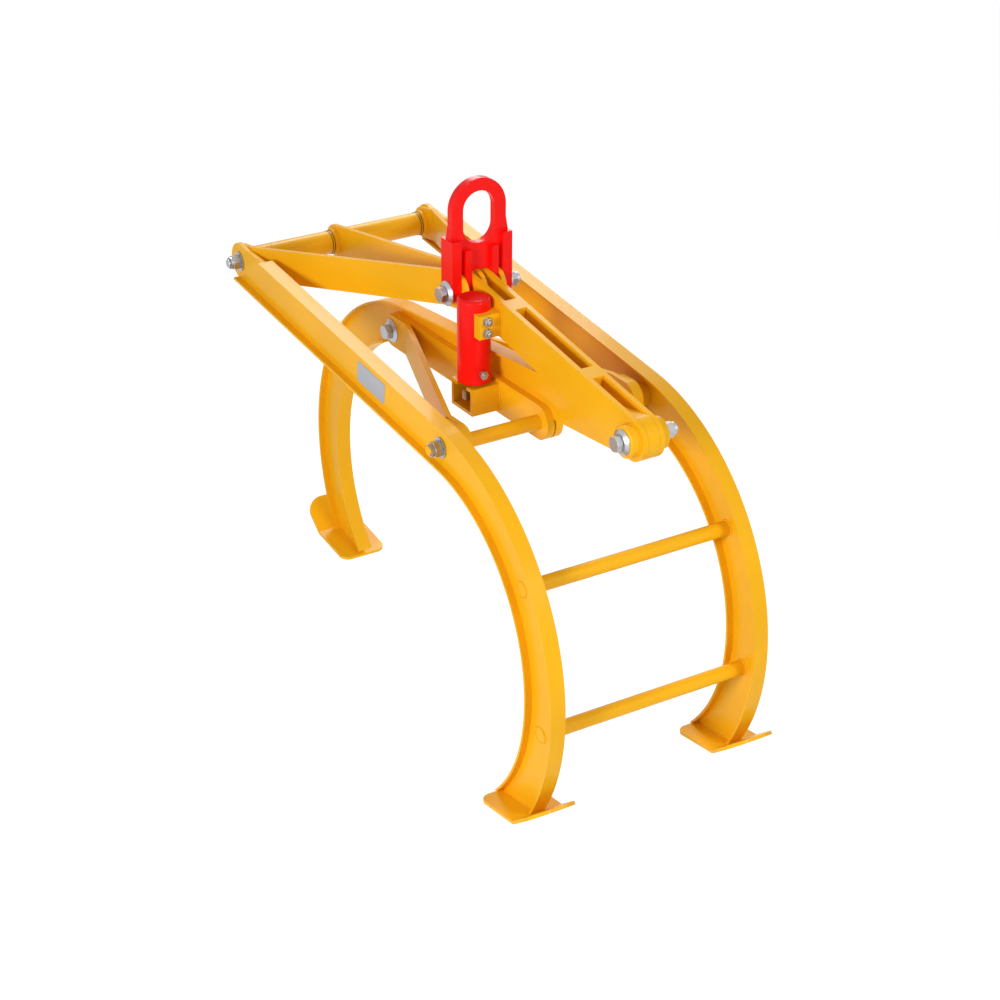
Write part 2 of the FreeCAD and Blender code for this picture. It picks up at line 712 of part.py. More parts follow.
def pin_collars():
    collars = []
    for side in (NEAR, FAR):
        y_low, y_high = spread(PULL_OUT, PULL_OUT + COLLAR_W, side)
        collar = ring(LINK_PIVOT, COLLAR_D / 2, PIN_R + FIT, y_low, y_high)
        outer_face = side * (PULL_OUT + COLLAR_W)
        rim = [e for e in collar.Edges if len(e.Vertexes) == 1 and abs(e.CenterOfMass.y - outer_face) < 0.01
               and e.Length > math.pi * PIN_D * 1.5]
        collars.append(collar.makeChamfer(3.0, rim))
    return collars


def link_pin_fasteners():
    face = PULL_OUT + COLLAR_W
    bolt = headed_bolt(LINK_PIVOT, -face - CONE_WASHER_T, -1, face + CONE_WASHER_T + nut_stack())
    washers = [cone_washer(LINK_PIVOT, -face, -1), cone_washer(LINK_PIVOT, face, 1)]
    return bolt, washers, lock_nut(LINK_PIVOT, face + CONE_WASHER_T, 1, PIN_R)


# Suspension eye, drawn about its own pin

def on_eye_pivot(shape):
    moved = shape.copy()
    moved.translate(at(*EYE_PIVOT))
    return moved


def eye_plate():
    """The upright plate with the long hole, its ring, shoulders and lower web."""
    half = EYE_T / 2
    outer_r = EYE_HOLE_R + EYE_RING
    hole_top = EYE_TOP - EYE_RING
    arc_z = hole_top - EYE_HOLE_R
    low_z = hole_top - EYE_HOLE_H + EYE_HOLE_R
    shoulder = OUTER_LEG_OUT

    def p(y, z):
        return V(-half, y, z)

    neck_z = low_z + 4
    outline = [
        Part.Arc(p(-outer_r, arc_z), p(0, arc_z + outer_r), p(outer_r, arc_z)).toShape(),
        Part.makeLine(p(outer_r, arc_z), p(outer_r, neck_z)),
        Part.makeLine(p(outer_r, neck_z), p(shoulder - 4, SHOULDER_Z)),
        Part.makeLine(p(shoulder - 4, SHOULDER_Z), p(shoulder - 4, WEB_BOTTOM_Z)),
        Part.makeLine(p(shoulder - 4, WEB_BOTTOM_Z), p(-shoulder + 4, WEB_BOTTOM_Z)),
        Part.makeLine(p(-shoulder + 4, WEB_BOTTOM_Z), p(-shoulder + 4, SHOULDER_Z)),
        Part.makeLine(p(-shoulder + 4, SHOULDER_Z), p(-outer_r, neck_z)),
        Part.makeLine(p(-outer_r, neck_z), p(-outer_r, arc_z)),
    ]
    hole = [
        Part.Arc(p(-EYE_HOLE_R, arc_z), p(0, arc_z + EYE_HOLE_R), p(EYE_HOLE_R, arc_z)).toShape(),
        Part.makeLine(p(EYE_HOLE_R, arc_z), p(EYE_HOLE_R, low_z)),
        Part.Arc(p(EYE_HOLE_R, low_z), p(0, low_z - EYE_HOLE_R), p(-EYE_HOLE_R, low_z)).toShape(),
        Part.makeLine(p(-EYE_HOLE_R, low_z), p(-EYE_HOLE_R, arc_z)),
    ]
    plate = Part.Face(Part.Wire(outline)).extrude(V(EYE_T, 0, 0))
    plate = plate.cut(Part.Face(Part.Wire(hole)).extrude(V(EYE_T, 0, 0)))
    round_rims = [e for e in plate.Edges if abs(abs(e.CenterOfMass.x) - half) < 1e-6
                  and e.CenterOfMass.z > neck_z - 60 and abs(e.CenterOfMass.y) < outer_r + 1]
    return plate.makeFillet(2.5, round_rims)


def fork_leg(y_low, y_high, top, depth):
    """A leg of the fork: a plate down to a round end about the eye pin."""
    half = depth / 2

    def p(x, z):
        return at(x, z)

    outline = [
        Part.makeLine(p(-half, 0), p(-half, top)),
        Part.makeLine(p(-half, top), p(half, top)),
        Part.makeLine(p(half, top), p(half, 0)),
        Part.Arc(p(half, 0), p(0, -half), p(-half, 0)).toShape(),
    ]
    leg = across(Part.Face(Part.Wire(outline)), y_low, y_high)
    return leg.cut(pin((0, 0), PIN_R + FIT, y_low, y_high))


def eye_slot(shape):
    """A fork leg notched round the eye plate, which stands in its middle."""
    half = EYE_T / 2
    reach = OUTER_LEG_OUT - 4
    return shape.cut(Part.makeBox(EYE_T, 2 * reach, EYE_TOP, V(-half, -reach, WEB_BOTTOM_Z)))


def outer_fork_legs():
    legs = []
    for side in (NEAR, FAR):
        y_low, y_high = spread(OUTER_LEG_IN, OUTER_LEG_OUT, side)
        leg = fork_leg(y_low, y_high, SHOULDER_Z, LEG_DEPTH)
        legs.append(eye_slot(leg))
    return legs


def inner_fork_legs():
    """The inner legs, which taper downwards and are pierced by the eye pin."""
    legs = []
    for side in (NEAR, FAR):
        y_low, y_high = spread(INNER_LEG_IN, INNER_LEG_OUT, side)
        legs.append(eye_slot(fork_leg(y_low, y_high, INNER_LEG_TOP_Z, LEG_DEPTH)))
    return legs


def eye_pin_fasteners():
    face = OUTER_LEG_OUT
    origin = (0, 0)
    bolt = headed_bolt(origin, -face - CONE_WASHER_T, -1, face + FLAT_WASHER_T + nut_stack())
    washers = [cone_washer(origin, -face, -1), flat_washer(origin, face, 1)]
    return bolt, washers, lock_nut(origin, face + FLAT_WASHER_T, 1, PIN_R)


def eye_pin_bushes():
    bushes = []
    for side in (NEAR, FAR):
        y_low, y_high = spread(PLATE_T / 2 + SIDE, PULL_IN - SIDE, side)
        bushes.append(ring((0, 0), BUSH_D / 2, PIN_R + FIT, y_low, y_high))
    return bushes


# Latch

def latch_bar(radius, z_low, z_high):
    return Part.makeCylinder(radius, z_high - z_low, V(LATCH_X, LATCH_Y, z_low))


def latch_tube():
    """The upright tube with its domed cap."""
    outer = latch_bar(LATCH_TUBE_D / 2, LATCH_TUBE_BOTTOM, LATCH_TUBE_TOP)
    rim = [e for e in outer.Edges if abs(e.CenterOfMass.z - LATCH_TUBE_TOP) < 1e-6 and len(e.Vertexes) == 1]
    outer = outer.makeFillet(CAP_ROUND, rim)
    bore_top = LATCH_TUBE_TOP - CAP_ROUND - LATCH_TUBE_WALL
    bore = latch_bar(LATCH_TUBE_D / 2 - LATCH_TUBE_WALL, LATCH_TUBE_BOTTOM, bore_top)
    screw_z = LATCH_TUBE_BOTTOM + LOCK_SCREW_RISE
    screw = Part.makeCylinder(LOCK_SCREW_D / 2 + FIT, LATCH_TUBE_D / 2, V(LATCH_X, LATCH_Y, screw_z), V(1, 0, 0))
    seat = V(LATCH_X + LATCH_TUBE_D / 2 - SPOT_FACE_DEPTH, LATCH_Y, screw_z)
    spot_face = Part.makeCylinder(LOCK_SCREW_D + FIT, 2 * SPOT_FACE_DEPTH, seat, V(1, 0, 0))
    return outer.cut(bore).cut(screw.fuse(spot_face)).cut(clamp_screw_holes())


def clamp_heights():
    return [BRACKET_MID_Z - CLAMP_SCREW_PITCH / 2, BRACKET_MID_Z + CLAMP_SCREW_PITCH / 2]


def clamp_screw_holes():
    holes = [Part.makeCylinder(CLAMP_SCREW_D / 2 + FIT, BRACKET_REACH + PIN_D, V(LATCH_X, LATCH_Y, z), V(1, 0, 0))
             for z in clamp_heights()]
    return holes[0].fuse(holes[1])


def latch_bracket():
    """The block on the right link's near plate that saddles the tube."""
    length = BRACKET_REACH
    depth = BRACKET_FRONT - LATCH_Y - PULL_OUT
    z_low = BRACKET_MID_Z - BRACKET_H / 2
    block = Part.makeBox(length, depth, BRACKET_H, V(LATCH_X, LATCH_Y - BRACKET_FRONT, z_low))
    block = block.cut(latch_bar(LATCH_TUBE_D / 2 + FIT, z_low, z_low + BRACKET_H))
    block = max(block.Solids, key=lambda solid: solid.Volume)
    return block.cut(clamp_screw_holes())


def side_screw(z, face_x, diameter, depth, washer_t):
    """A hexagon screw along -X with its washer, on the face at face_x."""
    face = V(LATCH_X + face_x, LATCH_Y, z)
    shank = Part.makeCylinder(diameter / 2, depth + washer_t, face - V(depth, 0, 0), V(1, 0, 0))
    washer = Part.makeCylinder(diameter, washer_t, face, V(1, 0, 0))
    head = Part.makeCylinder(diameter * 0.8, diameter * 0.6, face + V(washer_t, 0, 0), V(1, 0, 0))
    outer = [e for e in head.Edges if len(e.Vertexes) == 1 and e.CenterOfMass.x > face.x + washer_t + 1]
    head = head.makeFillet(diameter * 0.3, outer)
    return joined([shank, washer, head])


def clamp_screws():
    depth = BRACKET_REACH - LATCH_TUBE_D / 2 + LATCH_TUBE_WALL
    return [side_screw(z, BRACKET_REACH, CLAMP_SCREW_D, depth, 3.0) for z in clamp_heights()]


def lock_screw():
    z = LATCH_TUBE_BOTTOM + LOCK_SCREW_RISE
    face = LATCH_TUBE_D / 2 - SPOT_FACE_DEPTH
    return side_screw(z, face, LOCK_SCREW_D, LATCH_TUBE_WALL + 10, 3.0)


def guide_bush():
    """The bush in the tube's mouth that guides the hook's rod."""
    z_low = LATCH_TUBE_BOTTOM
    bush = latch_bar(LATCH_TUBE_D / 2 - LATCH_TUBE_WALL - FIT, z_low, z_low + GUIDE_H)
    bush = bush.cut(latch_bar(ROD_D / 2 + RUN, z_low, z_low + GUIDE_H))
    z = LATCH_TUBE_BOTTOM + LOCK_SCREW_RISE
    depth = LATCH_TUBE_D / 2 - SPOT_FACE_DEPTH - LATCH_TUBE_WALL - 10
    hole = Part.makeCylinder(LOCK_SCREW_D / 2 + FIT, LATCH_TUBE_D, V(LATCH_X + depth, LATCH_Y, z), V(1, 0, 0))
    return bush.cut(hole)


def latch_rod():
    """The rod that hangs by its collar on the guide bush."""
    guide_top = LATCH_TUBE_BOTTOM + GUIDE_H
    rod = latch_bar(ROD_D / 2, TEE_BOTTOM + TEE_H, guide_top + ROD_TOP_LENGTH)
    collar = latch_bar(ROD_COLLAR_D / 2, guide_top + SIDE, guide_top + SIDE + ROD_COLLAR_H)
    return joined([rod, collar])


def latch_tee():
    """The hook: a bar across the rod's end with rounded ends and a hub above it."""
    half = TEE_LENGTH / 2
    bar = Part.makeBox(TEE_W, TEE_LENGTH, TEE_H, V(LATCH_X - TEE_W / 2, LATCH_Y - half, TEE_BOTTOM))
    swept = latch_bar(half, TEE_BOTTOM, TEE_BOTTOM + TEE_H)
    bar = bar.common(swept)
    lower = [e for e in bar.Edges if e.CenterOfMass.z < TEE_BOTTOM + 0.01]
    return bar.makeChamfer(3.0, lower)


def eye_pin_parts():
    """The eye's pieces, in place about the eye pin."""
    bolt, washers, nut = eye_pin_fasteners()
    groups = {"eye_plate": [eye_plate()], "outer_fork_legs": outer_fork_legs(),
              "inner_fork_legs": inner_fork_legs(), "eye_pin": [bolt], "eye_pin_washers": washers,
              "eye_pin_nut": [nut], "eye_pin_bushes": eye_pin_bushes()}
    return {name: [on_eye_pivot(shape) for shape in shapes] for name, shapes in groups.items()}


def build():
    """All nodes of the grab, by name, drawn about the main pivot."""
    brace_bolt, brace_washers, brace_nut = brace_fasteners()
    link_pin, link_washers, link_nut = link_pin_fasteners()
    nodes = {
        "near_beam": [double_beam(NEAR)],
        "far_beam": [double_beam(FAR)],
        "upper_rung": [rung(UPPER_RUNG)],
        "lower_rung": [rung(LOWER_RUNG)],
        "near_foot": [foot(DOUBLE_FOOT_INNER, 1, DOUBLE_FOOT_TILT, DOUBLE_FOOT_LENGTH, -BEAM_Y)],
        "far_foot": [foot(DOUBLE_FOOT_INNER, 1, DOUBLE_FOOT_TILT, DOUBLE_FOOT_LENGTH, BEAM_Y)],
        "centre_beam": [centre_beam()],
        "centre_beam_end": [centre_beam_end()],
        "centre_foot": [foot(CENTRE_FOOT_INNER, -1, CENTRE_FOOT_TILT, CENTRE_FOOT_LENGTH, 0)],
        "near_centre_plate": [centre_plate(NEAR)],
        "far_centre_plate": [centre_plate(FAR)],
        "near_brace": [brace(NEAR)],
        "far_brace": [brace(FAR)],
        "near_ear_pad": [ear_pad(NEAR)],
        "far_ear_pad": [ear_pad(FAR)],
        "main_cross_bar": [main_cross_bar()],
        "main_pivot_washers": side_washers((0, 0)),
        "main_pivot_nuts": side_nuts((0, 0)),
        "latch_box_sides": latch_box_sides(),
        "latch_box_floor": [latch_box_floor()],
        "latch_box_lid": [latch_box_lid()],
        "brace_bolt": [brace_bolt],
        "brace_washers": brace_washers,
        "brace_nut": [brace_nut],
        "left_link_tube": [left_link_tube()],
        "left_link_rings": tube_rings(),
        "near_link_plate": [outer_link_plate(NEAR)],
        "far_link_plate": [outer_link_plate(FAR)],
        "middle_link_plate": [middle_link_plate()],
        "upper_pivot_stubs": upper_pivot_stubs(),
        "upper_pivot_washers": side_washers(UPPER_PIVOT),
        "upper_pivot_nuts": side_nuts(UPPER_PIVOT),
        "near_pull_plate": [pull_plate(NEAR)],
        "far_pull_plate": [pull_plate(FAR)],
        "pull_spacers": pull_spacers(),
        "link_pin_collars": pin_collars(),
        "link_pin": [link_pin],
        "link_pin_washers": link_washers,
        "link_pin_nut": [link_nut],
        "latch_bracket": [latch_bracket()],
        "latch_tube": [latch_tube()],
        "latch_guide_bush": [guide_bush()],
        "latch_clamp_screws": clamp_screws(),
        "latch_lock_screw": [lock_screw()],
        "latch_rod": [latch_rod()],
        "latch_tee": [latch_tee()],
    }
    nodes.update(eye_pin_parts())
    return {name: Part.makeCompound(shapes) if len(shapes) > 1 else shapes[0] for name, shapes in nodes.items()}


def base_point(nodes):
    """The centre of the bottom of the box round all nodes."""
    box = Part.makeCompound(list(nodes.values())).BoundBox
    return V((box.XMin + box.XMax) / 2, (box.YMin + box.YMax) / 2, box.ZMin)


def main():
    nodes = build()
    base = base_point(nodes)
    os.makedirs("parts", exist_ok=True)
    for name, shape in nodes.items():
        shape.translate(V(0, 0, 0) - base)
        shape.exportStep(f"parts/{name}.step")
    print("main pivot at", -base.x, -base.y, -base.z, "nodes", len(nodes))


if __name__ == "__main__":
    main()
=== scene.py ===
"""Dresses a rock grapple: finishes, weld beads, clamp nuts, bolt threads, the side plate and a studio."""
import json
import math

import bpy
from mathutils import Matrix, Vector


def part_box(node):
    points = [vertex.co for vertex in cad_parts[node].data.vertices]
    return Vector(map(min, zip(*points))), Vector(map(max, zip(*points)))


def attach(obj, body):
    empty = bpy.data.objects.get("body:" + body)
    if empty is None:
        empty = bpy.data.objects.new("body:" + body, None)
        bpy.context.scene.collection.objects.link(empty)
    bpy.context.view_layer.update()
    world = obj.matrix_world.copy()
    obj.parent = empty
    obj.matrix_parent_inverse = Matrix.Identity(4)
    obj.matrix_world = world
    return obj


bl_info = {
    "name": "Rock grapple",
    "version": (1, 0, 0),
    "blender": (4, 5, 0),
    "location": "3D View > Sidebar > Grapple",
    "description": "Paints and details a stone-setting grapple",
    "category": "Object",
}

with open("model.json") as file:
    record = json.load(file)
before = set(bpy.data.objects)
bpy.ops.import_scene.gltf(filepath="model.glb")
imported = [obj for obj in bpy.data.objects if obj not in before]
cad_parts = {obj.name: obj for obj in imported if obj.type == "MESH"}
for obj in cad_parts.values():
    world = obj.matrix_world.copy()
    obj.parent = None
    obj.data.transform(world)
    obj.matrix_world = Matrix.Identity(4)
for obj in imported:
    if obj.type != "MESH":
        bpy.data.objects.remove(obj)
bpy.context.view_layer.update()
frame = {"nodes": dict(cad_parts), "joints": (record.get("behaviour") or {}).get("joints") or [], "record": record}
NODES = frame["nodes"]
PIVOT = {joint["name"]: Vector(joint["pos_m"]) for joint in frame["joints"]}
MAIN = PIVOT["grab_hinge"]
UPPER = PIVOT["left_link_hinge"]
LINK = PIVOT["right_link_hinge"]
EYE = PIVOT["eye_swing"]
ALONG_X = Vector((1, 0, 0))
ALONG_Y = Vector((0, 1, 0))
SIDES = (("near", -1), ("far", 1))

# Places of the added pieces, in metres
STAND_OFF = 0.0004
WEB_OUTER_Y = 0.3000
RUNG_WELDS = (("outside", WEB_OUTER_Y + STAND_OFF), ("inside", 0.2946))
RUNG_WELD_OUT = 0.0012
TUBE_RING_INNER_Y = 0.0155
TUBE_RING_END = 0.0095
TUBE_WELD_OUT = 0.0015
# Offsets from each tube ring of the dark bands of painted shade that stand in for the gap beside it
TUBE_GAP_SHADES = (0.007, 0.013)
BOSS_WELD_Y = 0.2635
BOSS_WELD_R = 0.0318
COLLAR_WELD_Y = 0.0300
COLLAR_WELD_R = 0.0408
CORNER_OUT = 0.001
FACE_IN = 0.0006
BRACKET_BARE = 0.012
OUTER_LEG_T = 0.027
LEG_WELD_RISE = 0.004
INNER_WELD_STOP = 0.003
FOOT_T = 0.009
FOOT_WELD_START = 0.012
BEAM_WEB_MIDDLE_Y = 0.2975
WEB_SIDE = 0.0029
SIDE_PLATE_PLACE = Vector((-0.3427, -WEB_OUTER_Y - STAND_OFF, 0.0404))
SIDE_PLATE_T = 0.0008
CLAMP_DOME_R = 0.012
CLAMP_NUT_SUNK = 0.0072
LOCK_NUT_SUNK = 0.006

# The studio, in metres from the main pivot
LAMP_AIM = Vector((0, 0, -0.3))
BACK_LAMP_PLACE, BACK_LAMP_SIZE = Vector((-2.9, 1.5, 2.15)), 1.6
NEAR_LAMP_PLACE, NEAR_LAMP_SIZE = Vector((1.7, -4.0, 1.2)), 1.2
FRONT_LAMP_PLACE, FRONT_LAMP_SIZE = Vector((3.9, 0.9, 2.2)), 1.4
CAMERA_PLACE = Vector((4.48024, -2.94113, 2.51597))
CAMERA_RIGHT = Vector((0.52960117, 0.84823784, 0.00389583))
CAMERA_UP = Vector((-0.38787453, 0.23808161, 0.89043276))
CAMERA_BACK = Vector((0.75437123, -0.47308532, 0.45509815))
SENSOR_WIDTH = 36.0
FLOOR_GREY = (0.86, 0.86, 0.86, 1.0)
FLOOR_GLOW = 1.43
FLOOR_GLOW_SHARE = 0.6
WHITE = (1.0, 1.0, 1.0, 1.0)


# Shader writing

class Value:
    """One shader socket, so that sums and products of sockets read as plain arithmetic."""

    def __init__(self, shader, socket):
        self.shader = shader
        self.socket = socket

    def _math(self, operation, first, second):
        return self.shader.add("ShaderNodeMath", {"operation": operation}, {0: first, 1: second})

    def __add__(self, other):
        return self._math("ADD", self, other)

    def __radd__(self, other):
        return self._math("ADD", other, self)

    def __sub__(self, other):
        return self._math("SUBTRACT", self, other)

    def __rsub__(self, other):
        return self._math("SUBTRACT", other, self)

    def __mul__(self, other):
        return self._math("MULTIPLY", self, other)

    def __rmul__(self, other):
        return self._math("MULTIPLY", other, self)


class Shader:
    """A material or a world and the nodes that make it."""

    def __init__(self, owner):
        self.owner = owner
        owner.use_nodes = True
        self.tree = owner.node_tree
        self.tree.nodes.clear()

    def add(self, kind, settings=None, inputs=None, output=0):
        """Adds a node: its settings first, then its sockets' values or links."""
        node = self.tree.nodes.new(kind)
        for name, value in (settings or {}).items():
            setattr(node, name, value)
        for name, value in (inputs or {}).items():
            if isinstance(value, Value):
                self.tree.links.new(value.socket, node.inputs[name])
            else:
                node.inputs[name].default_value = value
        return Value(self, node.outputs[output])

    def place(self):
        """The point on the piece, in metres, in the part's own frame."""
        return self.add("ShaderNodeTexCoord", output="Object")

    def noise(self, point, scale, detail=2.0, rough=0.5):
        return self.add("ShaderNodeTexNoise", None,
                        {"Vector": point, "Scale": scale, "Detail": detail, "Roughness": rough})

    def drawn(self, point, scale, detail):
        """Noise with a scale of its own along each axis, for streaks and hairlines."""
        stretched = self.add("ShaderNodeMapping", None, {"Vector": point, "Scale": scale})
        return self.noise(stretched, 1.0, detail)

    def step(self, value, low, high):
        """0 below low, 1 above high, and smooth between them."""
        return self.add("ShaderNodeMapRange", {"interpolation_type": "SMOOTHSTEP"},
                        {"Value": value, "From Min": low, "From Max": high})

    def mix(self, share, first, second):
        return self.add("ShaderNodeMix", {"data_type": "RGBA"}, {0: share, 6: first, 7: second}, output=2)

    def bump(self, height, distance):
        return self.add("ShaderNodeBump", None, {"Height": height, "Distance": distance})

    def finish(self, **sockets):
        """Closes the material with a surface shader whose sockets are named with underscores."""
        inputs = {name.replace("_", " "): value for name, value in sockets.items()}
        surface = self.add("ShaderNodeBsdfPrincipled", None, inputs)
        return self.close(surface)

    def close(self, surface, kind="ShaderNodeOutputMaterial"):
        node = self.tree.nodes.new(kind)
        self.tree.links.new(surface.socket, node.inputs["Surface"])
        return self.owner

    def seen_white(self):
        """1 for what the camera sees itself, in gloss or through glass, and 0 for the light on things."""
        camera = self.add("ShaderNodeLightPath", output="Is Camera Ray")
        gloss = self.add("ShaderNodeLightPath", output="Is Glossy Ray")
        glass = self.add("ShaderNodeLightPath", output="Is Transmission Ray")
        either = self.add("ShaderNodeMath", {"operation": "MAXIMUM"}, {0: gloss, 1: glass})
        return self.add("ShaderNodeMath", {"operation": "MAXIMUM"}, {0: camera, 1: either})


def shade(colour, factor):
    """A colour made darker or lighter by a plain factor."""
    return (colour[0] * factor, colour[1] * factor, colour[2] * factor, 1.0)


def gloss_paint(name, colour, pale, dust):
    """Sprayed gloss paint: orange peel, slow shade changes, a film of site dust and fine hairline scuffs."""
    s = Shader(bpy.data.materials.new(name))
    place = s.place()
    cloud = s.noise(place, 4.0, 3.0)
    speck = s.noise(place, 140.0, 4.0, 0.65)
    peel = s.noise(place, 420.0, 1.0)
    stretched = s.add("ShaderNodeMapping", None, {"Vector": place, "Scale": (30.0, 160.0, 900.0),
                                                  "Rotation": (0.4, 0.9, 0.3)})
    hair = s.step(s.noise(stretched, 1.0, 2.0), 0.70, 0.76)
    tint = s.mix(s.step(cloud, 0.35, 0.70), shade(colour, 0.93), colour)
    dusty = s.step(speck, 0.52, 0.80) * s.step(cloud, 0.40, 0.62) * dust
    tint = s.mix(dusty, tint, pale)
    tint = s.mix(hair * 0.10, tint, pale)
    rough = 0.30 + cloud * 0.10 + dusty * 0.5 + hair * 0.12
    normal = s.bump(peel * 0.6 + speck * 0.25 + cloud * 2.0, 0.00016)
    return s.finish(Base_Color=tint, Roughness=rough, Normal=normal, Metallic=0.0, IOR=1.5,
                    Specular_IOR_Level=0.12, Coat_Weight=0.09, Coat_Roughness=0.10)


def zinc_plate(name, colour, grain):
    """Zinc plated steel: a faint crystal pattern, cloudy bright and dull places, and drawn hairlines."""
    s = Shader(bpy.data.materials.new(name))
    place = s.place()
    crystal = s.add("ShaderNodeTexVoronoi", {"feature": "F1"}, {"Vector": place, "Scale": grain},
                    output="Color")
    crystal = s.add("ShaderNodeRGBToBW", None, {"Color": crystal})
    cloud = s.noise(place, 55.0, 4.0)
    line = s.drawn(place, (900.0, 60.0, 900.0), 2.0)
    tint = s.mix(crystal * 0.6 + cloud * 0.4, shade(colour, 0.72), colour)
    tint = s.mix(s.step(cloud, 0.62, 0.78) * 0.35, tint, (0.62, 0.60, 0.50, 1.0))
    rough = 0.20 + crystal * 0.12 + cloud * 0.14 + line * 0.06
    return s.finish(Base_Color=tint, Roughness=rough, Metallic=1.0,
                    Normal=s.bump(line * 0.5 + crystal * 0.3, 0.00008))


def black_steel(name, colour):
    """Oiled dark steel with rubbed bright streaks along its length."""
    s = Shader(bpy.data.materials.new(name))
    place = s.place()
    streak = s.drawn(place, (420.0, 420.0, 24.0), 3.0)
    cloud = s.noise(place, 45.0, 4.0)
    rub = s.step(streak, 0.58, 0.80)
    tint = s.mix(rub * 0.5, colour, shade(colour, 5.0))
    return s.finish(Base_Color=tint, Roughness=0.32 + cloud * 0.25 - rub * 0.08, Metallic=0.85,
                    Normal=s.bump(streak * 0.4 + cloud * 0.3, 0.00012))


def cut_steel(name, colour):
    """Machined steel of the hook: fine cutter lines under a clear zinc film."""
    s = Shader(bpy.data.materials.new(name))
    place = s.place()
    line = s.drawn(place, (1400.0, 30.0, 1400.0), 2.0)
    cloud = s.noise(place, 80.0, 4.0)
    tint = s.mix(line * 0.5 + cloud * 0.5, shade(colour, 0.75), colour)
    return s.finish(Base_Color=tint, Roughness=0.26 + line * 0.16 + cloud * 0.08, Metallic=1.0,
                    Normal=s.bump(line, 0.00010))


def film(name, colour):
    """A printed film with nothing on it: satin, with faint bubbles and a soft wiped sheen."""
    s = Shader(bpy.data.materials.new(name))
    place = s.place()
    cloud = s.noise(place, 18.0, 3.0)
    wipe = s.drawn(place, (40.0, 40.0, 260.0), 3.0)
    bubble = s.step(s.noise(place, 260.0, 1.0), 0.72, 0.80)
    tint = s.mix(cloud * 0.5 + wipe * 0.3, shade(colour, 0.86), colour)
    return s.finish(Base_Color=tint, Roughness=0.30 + wipe * 0.14 + cloud * 0.08,
                    Normal=s.bump(bubble * 0.6 + wipe * 0.3, 0.00010), Metallic=0.0, Coat_Weight=0.25,
                    Coat_Roughness=0.15)


def nylon(name, colour):
    """The nut's locking ring: matt moulded nylon."""
    s = Shader(bpy.data.materials.new(name))
    place = s.place()
    grain = s.noise(place, 700.0, 3.0)
    cloud = s.noise(place, 90.0, 2.0)
    tint = s.mix(cloud, shade(colour, 0.8), colour)
    return s.finish(Base_Color=tint, Roughness=0.42 + grain * 0.16, Normal=s.bump(grain, 0.00006))


# Sizes and colours that a user may change

class GrappleFinish(bpy.types.PropertyGroup):
    """Colours of the finishes, as light values."""

    yellow: bpy.props.FloatVectorProperty(
        name="Yellow", description="Gloss paint of the arms and links", subtype="COLOR", size=4,
        min=0.0, max=1.0, default=(0.95, 0.475, 0.007, 1.0))
    yellow_dust: bpy.props.FloatVectorProperty(
        name="Yellow dust", description="Dust film on the yellow paint", subtype="COLOR", size=4,
        min=0.0, max=1.0, default=(0.88, 0.50, 0.05, 1.0))
    red: bpy.props.FloatVectorProperty(
        name="Red", description="Gloss paint of the eye and the latch tube", subtype="COLOR", size=4,
        min=0.0, max=1.0, default=(0.93, 0.006, 0.004, 1.0))
    red_dust: bpy.props.FloatVectorProperty(
        name="Red dust", description="Dust film on the red paint", subtype="COLOR", size=4,
        min=0.0, max=1.0, default=(0.80, 0.05, 0.04, 1.0))
    zinc: bpy.props.FloatVectorProperty(
        name="Zinc", description="Zinc plate of the bolts, nuts and washers", subtype="COLOR", size=4,
        min=0.0, max=1.0, default=(0.52, 0.53, 0.55, 1.0))
    steel: bpy.props.FloatVectorProperty(
        name="Black steel", description="Oiled steel of the latch rod", subtype="COLOR", size=4,
        min=0.0, max=1.0, default=(0.018, 0.018, 0.019, 1.0))
    film: bpy.props.FloatVectorProperty(
        name="Plate film", description="Film on the side plate", subtype="COLOR", size=4,
        min=0.0, max=1.0, default=(0.42, 0.44, 0.49, 1.0))
    nylon: bpy.props.FloatVectorProperty(
        name="Nylon", description="Locking rings of the nuts", subtype="COLOR", size=4,
        min=0.0, max=1.0, default=(0.30, 0.36, 0.42, 1.0))
    dust: bpy.props.FloatProperty(
        name="Dust", description="How much of the paint the dust film covers", subtype="FACTOR",
        min=0.0, max=1.0, default=0.16)


class GrappleDetail(bpy.types.PropertyGroup):
    """Sizes of the small detail."""

    bead: bpy.props.FloatProperty(
        name="Weld bead", description="Half width of a weld bead", unit="LENGTH", subtype="DISTANCE",
        min=0.001, max=0.006, default=0.0028)
    ripple: bpy.props.FloatProperty(
        name="Ripple", description="Distance between two ripples of a weld bead", unit="LENGTH",
        subtype="DISTANCE", min=0.002, max=0.01, default=0.0034)
    pitch: bpy.props.FloatProperty(
        name="Thread pitch", description="Distance between two turns of a bolt's thread", unit="LENGTH",
        subtype="DISTANCE", min=0.001, max=0.005, default=0.003)
    bolt: bpy.props.FloatProperty(
        name="Bolt radius", description="Radius of the pivot bolts", unit="LENGTH", subtype="DISTANCE",
        min=0.005, max=0.03, default=0.012)
    plate_length: bpy.props.FloatProperty(
        name="Plate length", description="Length of the bare side plate", unit="LENGTH",
        subtype="DISTANCE", min=0.05, max=0.3, default=0.139)
    plate_height: bpy.props.FloatProperty(
        name="Plate height", description="Height of the bare side plate", unit="LENGTH",
        subtype="DISTANCE", min=0.02, max=0.1, default=0.057)


